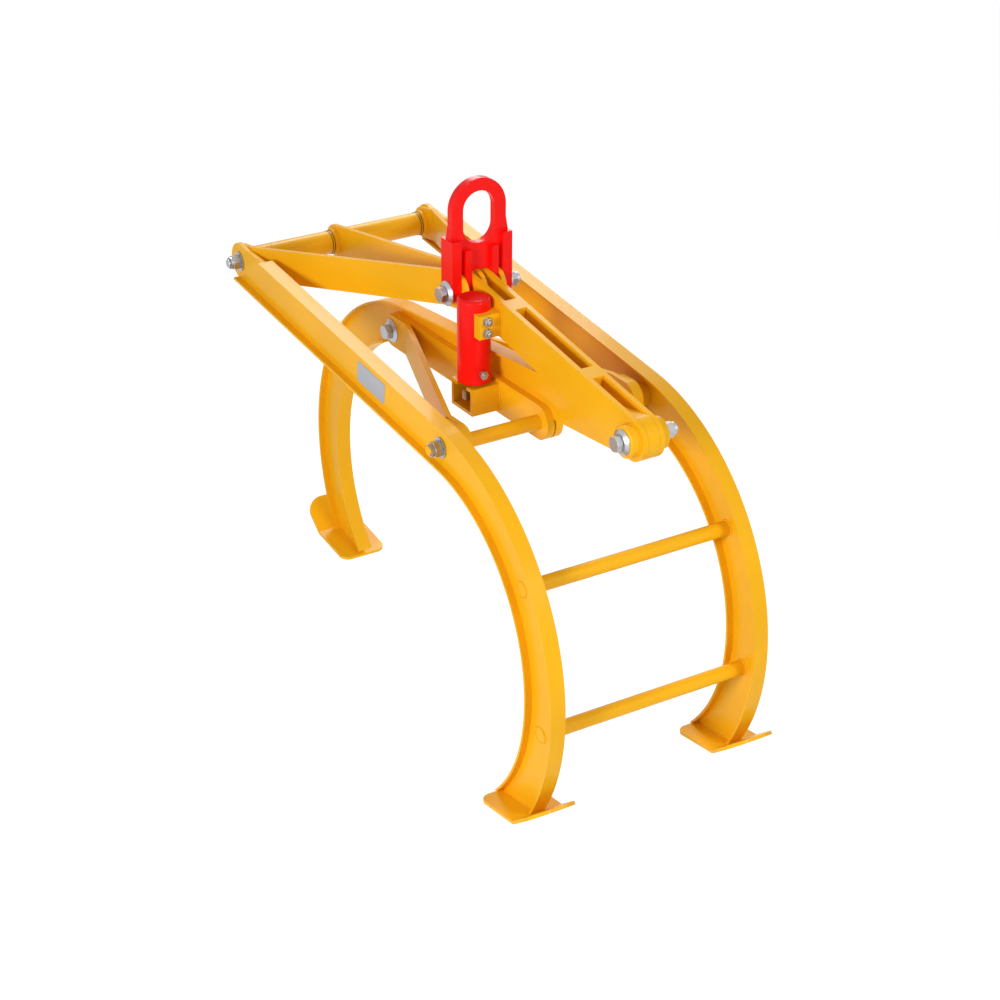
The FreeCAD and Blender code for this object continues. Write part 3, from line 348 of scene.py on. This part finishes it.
class GrappleStage(bpy.types.PropertyGroup):
    """The studio and the camera."""

    floor: bpy.props.FloatProperty(
        name="Floor", description="Half width of the floor", unit="LENGTH", subtype="DISTANCE",
        min=5.0, max=200.0, default=60.0)
    floor_drop: bpy.props.FloatProperty(
        name="Floor drop", unit="LENGTH", subtype="DISTANCE", min=0.0, max=5.0, default=0.50,
        description="Height of the grapple over the floor, so that the closed arm clears it")
    key: bpy.props.FloatProperty(
        name="Back lamp", description="Power of the lamp behind the grapple", unit="POWER", min=0.0,
        max=2000.0, default=58.0)
    side: bpy.props.FloatProperty(
        name="Near lamp", description="Power of the lamp on the near side", unit="POWER", min=0.0,
        max=2000.0, default=110.0)
    front: bpy.props.FloatProperty(
        name="Front lamp", description="Power of the lamp before the double arm", unit="POWER", min=0.0,
        max=2000.0, default=80.0)
    room: bpy.props.FloatProperty(
        name="Room light", description="Brightness of the even light from all round", min=0.0, max=2.0,
        default=0.38)
    lens: bpy.props.FloatProperty(
        name="Lens", description="Focal length of the camera in millimetres", subtype="NONE", min=10.0,
        max=300.0, default=86.278)


# Modelling helpers

def drop_selection():
    """Goes to object mode with nothing selected."""
    if bpy.context.object and bpy.context.object.mode != "OBJECT":
        bpy.ops.object.mode_set(mode="OBJECT")
    bpy.ops.object.select_all(action="DESELECT")


def newest(name):
    """Names the primitive that was just added."""
    piece = bpy.context.object
    piece.name = name
    piece.data.name = name
    return piece


def pick(piece, kind, test):
    """Goes to edit mode with the vertices, edges or faces selected whose middle passes a test."""
    if bpy.context.object.mode != "OBJECT":
        bpy.ops.object.mode_set(mode="OBJECT")
    bpy.context.tool_settings.mesh_select_mode = (kind == "VERT", kind == "EDGE", kind == "FACE")
    mesh = piece.data
    for group in (mesh.vertices, mesh.edges, mesh.polygons):
        group.foreach_set("select", [False] * len(group))
    points = mesh.vertices
    if kind == "VERT":
        chosen = [vertex for vertex in points if test(vertex.co)]
    elif kind == "EDGE":
        chosen = [edge for edge in mesh.edges
                  if test(points[edge.vertices[0]].co, points[edge.vertices[1]].co)]
    else:
        chosen = [face for face in mesh.polygons if test(face.center, face.normal)]
    for item in chosen:
        item.select = True
    bpy.ops.object.mode_set(mode="EDIT")
    if not chosen:
        raise RuntimeError(f"nothing of {piece.name} was selected")


def leave_edit():
    """Goes back to object mode."""
    bpy.ops.object.mode_set(mode="OBJECT")


def modify(piece, kind, **settings):
    """Adds a modifier and applies it."""
    modifier = piece.modifiers.new(kind.title(), kind)
    for name, value in settings.items():
        setattr(modifier, name, value)
    bpy.ops.object.modifier_apply(modifier=modifier.name)


def aim(direction):
    """The turn that takes +Z to a direction."""
    return Vector(direction).to_track_quat("Z", "Y").to_euler()


def settle(piece, body, material, angle=math.radians(35)):
    """Applies a piece's place, smooths it, paints it and puts it on its body."""
    bpy.ops.object.transform_apply(location=True, rotation=True, scale=True)
    bpy.ops.object.shade_smooth_by_angle(angle=angle)
    piece.data.materials.clear()
    piece.data.materials.append(bpy.data.materials[material])
    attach(piece, body)
    return piece


def ring_bead(name, centre, axis, radius, body, material="Yellow_weld"):
    """A ring of weld: a torus whose every second ring of points is swollen, smoothed after that."""
    detail = bpy.context.scene.grapple_detail
    turns = max(24, int(2 * math.pi * radius / detail.ripple))
    drop_selection()
    bpy.ops.mesh.primitive_torus_add(major_segments=2 * turns, minor_segments=8, major_radius=radius,
                                     minor_radius=detail.bead * 0.86)
    piece = newest(name)
    step = math.pi / turns
    pick(piece, "VERT", lambda p: round(math.atan2(p.y, p.x) / step) % 2 == 0)
    bpy.ops.transform.shrink_fatten(value=detail.bead * 0.22)
    leave_edit()
    modify(piece, "SUBSURF", levels=1, render_levels=1)
    piece.rotation_euler = aim(axis)
    piece.location = centre
    return settle(piece, body, material)


def gap_shade_ring(name, centre, axis, radius, body):
    """Painted shade: a thin flat dark band that hugs the tube where a sleeve ends on it, standing in for the
    shadow in the gap there.
    """
    drop_selection()
    bpy.ops.mesh.primitive_cylinder_add(vertices=64, radius=radius + 0.0003, depth=0.0018,
                                        end_fill_type="NOTHING")
    piece = newest(name)
    modify(piece, "SOLIDIFY", thickness=0.0012, offset=0.0)
    modify(piece, "BEVEL", width=0.0002, segments=2, limit_method="ANGLE")
    piece.rotation_euler = aim(axis)
    piece.location = centre
    # The black steel finish on this band is painted shade for the gap, not a steel part
    return settle(piece, body, "Black_steel")


def line_bead(name, start, end, body, material="Yellow_weld"):
    """A straight run of weld: one swollen ripple, repeated along the seam, with domed ends."""
    detail = bpy.context.scene.grapple_detail
    start, end = Vector(start), Vector(end)
    length = (end - start).length
    count = max(2, round(length / detail.ripple))
    pitch = length / count
    radius = detail.bead
    drop_selection()
    bpy.ops.mesh.primitive_cylinder_add(vertices=8, radius=radius * 0.84, depth=pitch,
                                        end_fill_type="NOTHING", location=(0, 0, pitch / 2))
    piece = newest(name)
    bpy.ops.object.transform_apply(location=True)
    pick(piece, "EDGE", lambda a, b: abs(a.z - b.z) > pitch / 2)
    bpy.ops.mesh.subdivide(number_cuts=1)
    pick(piece, "VERT", lambda p: abs(p.z - pitch / 2) < pitch / 8)
    bpy.ops.transform.resize(value=(1.22, 1.22, 1.0), center_override=(0, 0, pitch / 2))
    leave_edit()
    modify(piece, "ARRAY", count=count, use_relative_offset=False, use_constant_offset=True,
           constant_offset_displace=(0, 0, pitch), use_merge_vertices=True, merge_threshold=pitch / 50)
    for z, way in ((0.0, -1), (length, 1)):
        pick(piece, "VERT", lambda p: abs(p.z - z) < pitch / 8)
        bpy.ops.mesh.edge_face_add()
        bpy.ops.mesh.inset(thickness=radius * 0.4, depth=radius * 0.35)
    leave_edit()
    modify(piece, "SUBSURF", levels=1, render_levels=1)
    piece.rotation_euler = aim(end - start)
    piece.location = start
    return settle(piece, body, material)


def thread(name, point, side, low, high, body):
    """The thread on a bolt's free end: one small tooth wound along the bolt with a screw modifier."""
    detail = bpy.context.scene.grapple_detail
    turns = int((high - low - detail.pitch) / detail.pitch)
    drop_selection()
    bpy.ops.mesh.primitive_circle_add(vertices=3, radius=detail.pitch * 0.42, fill_type="NGON")
    piece = newest(name)
    pick(piece, "VERT", lambda p: True)
    bpy.ops.transform.rotate(value=math.radians(90), orient_axis="X", center_override=(0, 0, 0))
    bpy.ops.transform.resize(value=(0.45, 1, 1), center_override=(0, 0, 0))
    bpy.ops.transform.translate(value=(detail.bolt + 0.0001, 0, 0))
    leave_edit()
    modify(piece, "SCREW", axis="Z", screw_offset=detail.pitch * turns, iterations=1,
           angle=2 * math.pi * turns, steps=28 * turns, render_steps=28 * turns, use_normal_calculate=True)
    pick(piece, "VERT", lambda p: True)
    bpy.ops.mesh.remove_doubles(threshold=0.000002)
    bpy.ops.mesh.fill_holes(sides=4)
    bpy.ops.mesh.normals_make_consistent(inside=False)
    leave_edit()
    piece.rotation_euler = aim((0, side, 0))
    piece.location = (point.x, side * (low + detail.pitch * 0.5), point.z)
    return settle(piece, body, "Zinc_thread", math.radians(25))


def lock_ring(name, point, side, face, body):
    """The locking ring in a nut's collar: a short drum, inset and sunk in its outer face."""
    detail = bpy.context.scene.grapple_detail
    drop_selection()
    bpy.ops.mesh.primitive_cylinder_add(vertices=48, radius=detail.bolt + 0.0032, depth=0.0012)
    piece = newest(name)
    pick(piece, "FACE", lambda c, n: n.z > 0.9)
    bpy.ops.mesh.inset(thickness=0.0006)
    bpy.ops.mesh.inset(thickness=0.0016)
    bpy.ops.transform.translate(value=(0, 0, -0.0004))
    leave_edit()
    modify(piece, "BEVEL", width=0.0002, segments=2, limit_method="ANGLE")
    piece.rotation_euler = aim((0, side, 0))
    piece.location = (point.x, side * face, point.z)
    return settle(piece, body, "Lock_nylon")


def hexagon_nut(name, face, axis, across_flats, height, body):
    """A small hexagon nut: a six-sided drum with eased corners, a chamfered rim and a sunk bore ring."""
    drop_selection()
    bpy.ops.mesh.primitive_cylinder_add(vertices=6, radius=across_flats / math.sqrt(3), depth=height,
                                        location=(0, 0, height / 2))
    piece = newest(name)
    bpy.ops.object.transform_apply(location=True)
    pick(piece, "EDGE", lambda a, b: abs(a.z - b.z) > height / 2)
    bpy.ops.mesh.bevel(offset=across_flats * 0.045, segments=2)
    pick(piece, "FACE", lambda c, n: n.z > 0.9)
    bpy.ops.mesh.inset(thickness=across_flats * 0.05)
    bpy.ops.transform.translate(value=(0, 0, height * 0.10))
    bpy.ops.mesh.inset(thickness=across_flats * 0.10)
    bpy.ops.mesh.inset(thickness=across_flats * 0.05)
    bpy.ops.transform.translate(value=(0, 0, -height * 0.10))
    leave_edit()
    modify(piece, "BEVEL", width=0.0003, segments=2, limit_method="ANGLE")
    piece.rotation_euler = aim(axis)
    piece.location = face
    return settle(piece, body, "Zinc_plate", math.radians(25))


def stud_end(name, face, axis, radius, height, body):
    """The rounded end of a stud that stands out of its nut."""
    drop_selection()
    bpy.ops.mesh.primitive_cylinder_add(vertices=32, radius=radius, depth=height, location=(0, 0, height / 2))
    piece = newest(name)
    bpy.ops.object.transform_apply(location=True)
    pick(piece, "FACE", lambda c, n: n.z > 0.9)
    bpy.ops.mesh.inset(thickness=radius * 0.18)
    bpy.ops.transform.translate(value=(0, 0, radius * 0.14))
    bpy.ops.mesh.inset(thickness=radius * 0.35)
    bpy.ops.transform.translate(value=(0, 0, radius * 0.10))
    leave_edit()
    modify(piece, "BEVEL", width=0.0003, segments=2, limit_method="ANGLE")
    piece.rotation_euler = aim(axis)
    piece.location = face
    return settle(piece, body, "Zinc_thread")


# Operators: one for each group of like pieces

class GRAPPLE_OT_finishes(bpy.types.Operator):
    """Paints every part of the frame with its finish"""

    bl_idname = "grapple.finishes"
    bl_label = "Paint the parts"

    def execute(self, context):
        look = context.scene.grapple_finish
        yellow, dust = tuple(look.yellow), look.dust
        gloss_paint("Yellow_paint", yellow, tuple(look.yellow_dust), dust)
        gloss_paint("Yellow_weld", shade(yellow, 0.97), tuple(look.yellow_dust), dust * 0.6)
        gloss_paint("Red_paint", tuple(look.red), tuple(look.red_dust), dust * 0.6)
        gloss_paint("Red_weld", shade(tuple(look.red), 0.95), tuple(look.red_dust), dust * 0.4)
        zinc_plate("Zinc_plate", tuple(look.zinc), 420.0)
        zinc_plate("Zinc_thread", shade(tuple(look.zinc), 0.9), 900.0)
        black_steel("Black_steel", tuple(look.steel))
        cut_steel("Cut_steel", tuple(look.zinc))
        film("Plate_film", tuple(look.film))
        nylon("Lock_nylon", tuple(look.nylon))
        finish_of = {"yellow_paint": "Yellow_paint", "red_paint": "Red_paint", "zinc_steel": "Zinc_plate",
                     "dark_steel": "Black_steel"}
        for row in frame["record"]["subparts"]:
            node = NODES[row["node"]]
            node.data.materials.clear()
            name = "Cut_steel" if row["node"] == "latch_tee" else finish_of[row["material_slot"]]
            node.data.materials.append(bpy.data.materials[name])
        return {"FINISHED"}


class GRAPPLE_OT_side_plate(bpy.types.Operator):
    """Adds the bare plate on the near beam's web"""

    bl_idname = "grapple.side_plate"
    bl_label = "Side plate"

    def execute(self, context):
        detail = context.scene.grapple_detail
        drop_selection()
        bpy.ops.mesh.primitive_cube_add(size=1.0)
        piece = newest("side_plate")
        piece.scale = (detail.plate_length, detail.plate_height, SIDE_PLATE_T)
        bpy.ops.object.transform_apply(location=False, rotation=False, scale=True)
        pick(piece, "EDGE", lambda a, b: abs(a.z - b.z) > SIDE_PLATE_T / 2)
        bpy.ops.mesh.bevel(offset=0.004, segments=4)
        pick(piece, "FACE", lambda c, n: n.z > 0.9)
        bpy.ops.mesh.inset(thickness=0.0025)
        bpy.ops.mesh.inset(thickness=0.0004)
        bpy.ops.transform.translate(value=(0, 0, -0.00025))
        leave_edit()
        modify(piece, "BEVEL", width=0.00015, segments=2, limit_method="ANGLE")
        slope = math.atan2(UPPER.z - MAIN.z, MAIN.x - UPPER.x)
        turn = Matrix.Rotation(slope, 4, "Y") @ Matrix.Rotation(math.pi / 2, 4, "X")
        piece.rotation_euler = turn.to_euler()
        piece.location = MAIN + SIDE_PLATE_PLACE
        settle(piece, "double_arm", "Plate_film")
        return {"FINISHED"}


class GRAPPLE_OT_welds(bpy.types.Operator):
    """Adds the weld beads of the arms, links, latch and eye"""

    bl_idname = "grapple.welds"
    bl_label = "Weld beads"

    def execute(self, context):
        self.rungs()
        self.tube()
        self.pivot_bosses()
        self.latch()
        self.eye()
        self.feet()
        return {"FINISHED"}

    def rungs(self):
        """Rings where the rungs go through the webs of the outer beams."""
        for rung in ("upper_rung", "lower_rung"):
            low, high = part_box(rung)
            middle = (low + high) / 2
            radius = (high.x - low.x) / 2
            for tag, side in SIDES:
                for place, y in RUNG_WELDS:
                    ring_bead(f"{rung}_{tag}_{place}_weld", (middle.x, side * y, middle.z), ALONG_Y,
                              radius + RUNG_WELD_OUT, "double_arm")

    def tube(self):
        """Weld rings where the link plates sit on the cross tube, and dark bands beside them that are painted
        shade for the gaps there.
        """
        low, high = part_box("left_link_tube")
        radius = (high.x - low.x) / 2
        for number, y in enumerate((TUBE_RING_INNER_Y, high.y - TUBE_RING_END)):
            for tag, side in SIDES:
                ring_bead(f"tube_ring_{number}_{tag}_weld", (UPPER.x, side * y, UPPER.z), ALONG_Y,
                          radius + TUBE_WELD_OUT, "left_link")
                # Dark bands of painted shade for the gap beside each ring, in the black steel finish
                for line, gap in enumerate(TUBE_GAP_SHADES):
                    inward = y + gap if number == 0 else y - gap
                    gap_shade_ring(f"tube_seam_{number}_{tag}_{line}", (UPPER.x, side * inward, UPPER.z), ALONG_Y,
                              radius, "left_link")

    def pivot_bosses(self):
        """Rings at the ear pads and at the link pin's collars."""
        for tag, side in SIDES:
            ring_bead(f"{tag}_boss_weld", (MAIN.x, side * BOSS_WELD_Y, MAIN.z), ALONG_Y, BOSS_WELD_R,
                      "centre_arm")
            ring_bead(f"{tag}_collar_weld", (LINK.x, side * COLLAR_WELD_Y, LINK.z), ALONG_Y, COLLAR_WELD_R,
                      "right_link")

    def latch(self):
        """Runs round the latch box and round the clamp bracket, where they meet their plates."""
        low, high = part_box("latch_box_sides")
        y = high.y - FACE_IN
        left, right = low.x - CORNER_OUT, high.x + CORNER_OUT
        bottom, top = low.z - CORNER_OUT, high.z + CORNER_OUT
        corners = [Vector((left, y, bottom)), Vector((right, y, bottom)),
                   Vector((right, y, top)), Vector((left, y, top))]
        for number in range(4):
            line_bead(f"latch_box_weld_{number}", corners[number], corners[(number + 1) % 4], "centre_arm")
        low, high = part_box("latch_bracket")
        y = high.y - FACE_IN
        left, right = low.x + BRACKET_BARE, high.x + CORNER_OUT
        bottom, top = low.z - CORNER_OUT, high.z + CORNER_OUT
        runs = [((left, y, top), (high.x, y, top)), ((left, y, bottom), (high.x, y, bottom)),
                ((right, y, low.z), (right, y, high.z))]
        for number, (start, end) in enumerate(runs):
            line_bead(f"bracket_weld_{number}", start, end, "right_link")

    def eye(self):
        """Upright runs where the fork's legs meet the eye plate."""
        plate_low, plate_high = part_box("eye_plate")
        leg_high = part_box("outer_fork_legs")[1]
        inner_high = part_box("inner_fork_legs")[1]
        start_z = plate_low.z + LEG_WELD_RISE
        inside = leg_high.y - OUTER_LEG_T - STAND_OFF
        outside = inner_high.y + STAND_OFF
        for tag, side in SIDES:
            for face, x in (("left", plate_low.x - STAND_OFF), ("right", plate_high.x + STAND_OFF)):
                line_bead(f"{tag}_outer_leg_{face}_weld", (x, side * inside, start_z),
                          (x, side * inside, leg_high.z - LEG_WELD_RISE), "eye", "Red_weld")
                line_bead(f"{tag}_inner_leg_{face}_weld", (x, side * outside, start_z),
                          (x, side * outside, inner_high.z - INNER_WELD_STOP), "eye", "Red_weld")

    def feet(self):
        """Runs on both sides of each web where it stands on its tilted foot plate."""
        for tag, side in SIDES:
            self.foot(tag, "double_arm", Vector((0.287, side * BEAM_WEB_MIDDLE_Y, -0.8283)), 1, 7, 0.118)
        self.foot("centre", "centre_arm", Vector((-0.952, 0.0, -0.819)), -1, 9, 0.112)

    def foot(self, tag, body, inner, way, tilt, length):
        """The two runs on one foot: from its inner edge outwards, up the foot's tilt in degrees."""
        along = Vector((way * math.cos(math.radians(tilt)), 0, math.sin(math.radians(tilt))))
        up = Vector((-along.z * way, 0, abs(along.x)))
        corner = MAIN + inner + up * (FOOT_T + STAND_OFF)
        for face, side in SIDES:
            offset = Vector((0, side * WEB_SIDE, 0))
            line_bead(f"{tag}_foot_{face}_weld", corner + along * FOOT_WELD_START + offset,
                      corner + along * length + offset, body)


class GRAPPLE_OT_clamp_nuts(bpy.types.Operator):
    """Adds the nuts and stud ends of the latch tube's clamp and the head of its locking screw"""

    bl_idname = "grapple.clamp_nuts"
    bl_label = "Clamp nuts"

    def execute(self, context):
        low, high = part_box("latch_clamp_screws")
        face = high.x - CLAMP_NUT_SUNK
        y = (low.y + high.y) / 2
        for name, z in (("lower", low.z + CLAMP_DOME_R), ("upper", high.z - CLAMP_DOME_R)):
            hexagon_nut(f"clamp_nut_{name}", (face, y, z), ALONG_X, 0.0202, 0.009, "right_link")
            stud_end(f"clamp_stud_{name}", (face + 0.007, y, z), ALONG_X, 0.006, 0.0055, "right_link")
        low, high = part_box("latch_lock_screw")
        middle = (low + high) / 2
        hexagon_nut("lock_screw_head", (high.x - LOCK_NUT_SUNK, middle.y, middle.z), ALONG_X, 0.0190, 0.0080,
                    "right_link")
        stud_end("lock_screw_end", (high.x + 0.001, middle.y, middle.z), ALONG_X, 0.0056, 0.0030,
                 "right_link")
        return {"FINISHED"}


class GRAPPLE_OT_threads(bpy.types.Operator):
    """Adds the threads on the bolts' ends and the locking rings in the nuts"""

    bl_idname = "grapple.threads"
    bl_label = "Threads and lock rings"

    def execute(self, context):
        brace_low, brace_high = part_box("brace_nut")
        brace = (brace_low + brace_high) / 2
        ends = [
            ("near_main", MAIN, -1, "main_pivot_nuts", "main_cross_bar", "centre_arm"),
            ("far_main", MAIN, 1, "main_pivot_nuts", "main_cross_bar", "centre_arm"),
            ("near_upper", UPPER, -1, "upper_pivot_nuts", "upper_pivot_stubs", "left_link"),
            ("far_upper", UPPER, 1, "upper_pivot_nuts", "upper_pivot_stubs", "left_link"),
            ("brace", brace, 1, "brace_nut", "brace_bolt", "centre_arm"),
            ("link_pin", LINK, 1, "link_pin_nut", "link_pin", "right_link"),
            ("eye_pin", EYE, 1, "eye_pin_nut", "eye_pin", "eye"),
        ]
        for name, point, side, nut, bolt, body in ends:
            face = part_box(nut)[1].y
            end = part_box(bolt)[1].y
            thread(f"{name}_thread", point, side, face - 0.001, end, body)
            lock_ring(f"{name}_lock_ring", point, side, face, body)
        return {"FINISHED"}


class GRAPPLE_OT_stage(bpy.types.Operator):
    """Adds the floor, the lamps and the camera"""

    bl_idname = "grapple.stage"
    bl_label = "Studio"

    def execute(self, context):
        look = context.scene.grapple_stage
        self.floor(look.floor, look.floor_drop)
        self.lamp("Back_lamp", MAIN + BACK_LAMP_PLACE, MAIN, BACK_LAMP_SIZE, look.key)
        self.lamp("Near_lamp", MAIN + NEAR_LAMP_PLACE, MAIN + LAMP_AIM, NEAR_LAMP_SIZE, look.side)
        self.lamp("Front_lamp", MAIN + FRONT_LAMP_PLACE, MAIN, FRONT_LAMP_SIZE, look.front)
        self.room(context.scene, look.room)
        self.camera(context.scene, look.lens)
        context.scene.view_settings.view_transform = "Standard"
        return {"FINISHED"}

    def floor(self, half, drop):
        """A grey floor that glows white to the camera and keeps the grapple's shadow."""
        drop_selection()
        bpy.ops.mesh.primitive_plane_add(size=2 * half, location=(0, 0, -drop))
        floor = newest("floor")
        s = Shader(bpy.data.materials.new("Floor_white"))
        lit = s.add("ShaderNodeBsdfDiffuse", None, {"Color": FLOOR_GREY})
        glow = s.add("ShaderNodeEmission", None, {"Color": WHITE, "Strength": FLOOR_GLOW})
        s.close(s.add("ShaderNodeMixShader", None, {0: s.seen_white() * FLOOR_GLOW_SHARE, 1: lit, 2: glow}))
        floor.data.materials.append(s.owner)

    def lamp(self, name, place, target, size, power):
        """A round lamp at a place, aimed at a target."""
        drop_selection()
        bpy.ops.object.light_add(type="AREA", location=place)
        lamp = bpy.context.object
        lamp.name = name
        lamp.data.shape = "DISK"
        lamp.data.size = size
        lamp.data.energy = power
        lamp.rotation_euler = (Vector(target) - Vector(place)).to_track_quat("-Z", "Y").to_euler()

    def room(self, scene, level):
        """The even light from all round, white where the camera sees it."""
        s = Shader(bpy.data.worlds.new("Room"))
        light = s.add("ShaderNodeBackground", None, {"Color": WHITE, "Strength": level})
        white = s.add("ShaderNodeBackground", None, {"Color": WHITE, "Strength": 1.0})
        mixed = s.add("ShaderNodeMixShader", None, {0: s.seen_white(), 1: light, 2: white})
        scene.world = s.close(mixed, "ShaderNodeOutputWorld")

    def camera(self, scene, lens):
        """The camera at the place and with the turn and lens that the photo was taken with."""
        drop_selection()
        bpy.ops.object.camera_add(location=MAIN + CAMERA_PLACE)
        camera = bpy.context.object
        camera.name = "Photo_camera"
        camera.rotation_euler = Matrix((CAMERA_RIGHT, CAMERA_UP, CAMERA_BACK)).transposed().to_euler()
        camera.data.lens = lens
        camera.data.sensor_width = SENSOR_WIDTH
        camera.data.clip_end = 500.0
        scene.camera = camera


class GRAPPLE_PT_panel(bpy.types.Panel):
    """Buttons and sizes of the grapple"""

    bl_idname = "GRAPPLE_PT_panel"
    bl_label = "Rock grapple"
    bl_space_type = "VIEW_3D"
    bl_region_type = "UI"
    bl_category = "Grapple"

    def draw(self, context):
        layout = self.layout
        for operator in OPERATORS:
            layout.operator(operator.bl_idname)
        for group in (getattr(context.scene, name) for name in GROUPS):
            column = layout.column(align=True)
            for name in group.bl_rna.properties.keys():
                if name not in ("rna_type", "name"):
                    column.prop(group, name)


GROUPS = {"grapple_finish": GrappleFinish, "grapple_detail": GrappleDetail, "grapple_stage": GrappleStage}
OPERATORS = [GRAPPLE_OT_finishes, GRAPPLE_OT_side_plate, GRAPPLE_OT_welds, GRAPPLE_OT_clamp_nuts,
             GRAPPLE_OT_threads, GRAPPLE_OT_stage]


def register():
    for kind in [*GROUPS.values(), *OPERATORS, GRAPPLE_PT_panel]:
        bpy.utils.register_class(kind)
    for name, kind in GROUPS.items():
        setattr(bpy.types.Scene, name, bpy.props.PointerProperty(type=kind))


def unregister():
    for name in GROUPS:
        delattr(bpy.types.Scene, name)
    for kind in reversed([*GROUPS.values(), *OPERATORS, GRAPPLE_PT_panel]):
        bpy.utils.unregister_class(kind)


def main():
    register()
    for operator in OPERATORS:
        family, name = operator.bl_idname.split(".")
        getattr(getattr(bpy.ops, family), name)()
    drop_selection()


if __name__ == "__main__":
    main()
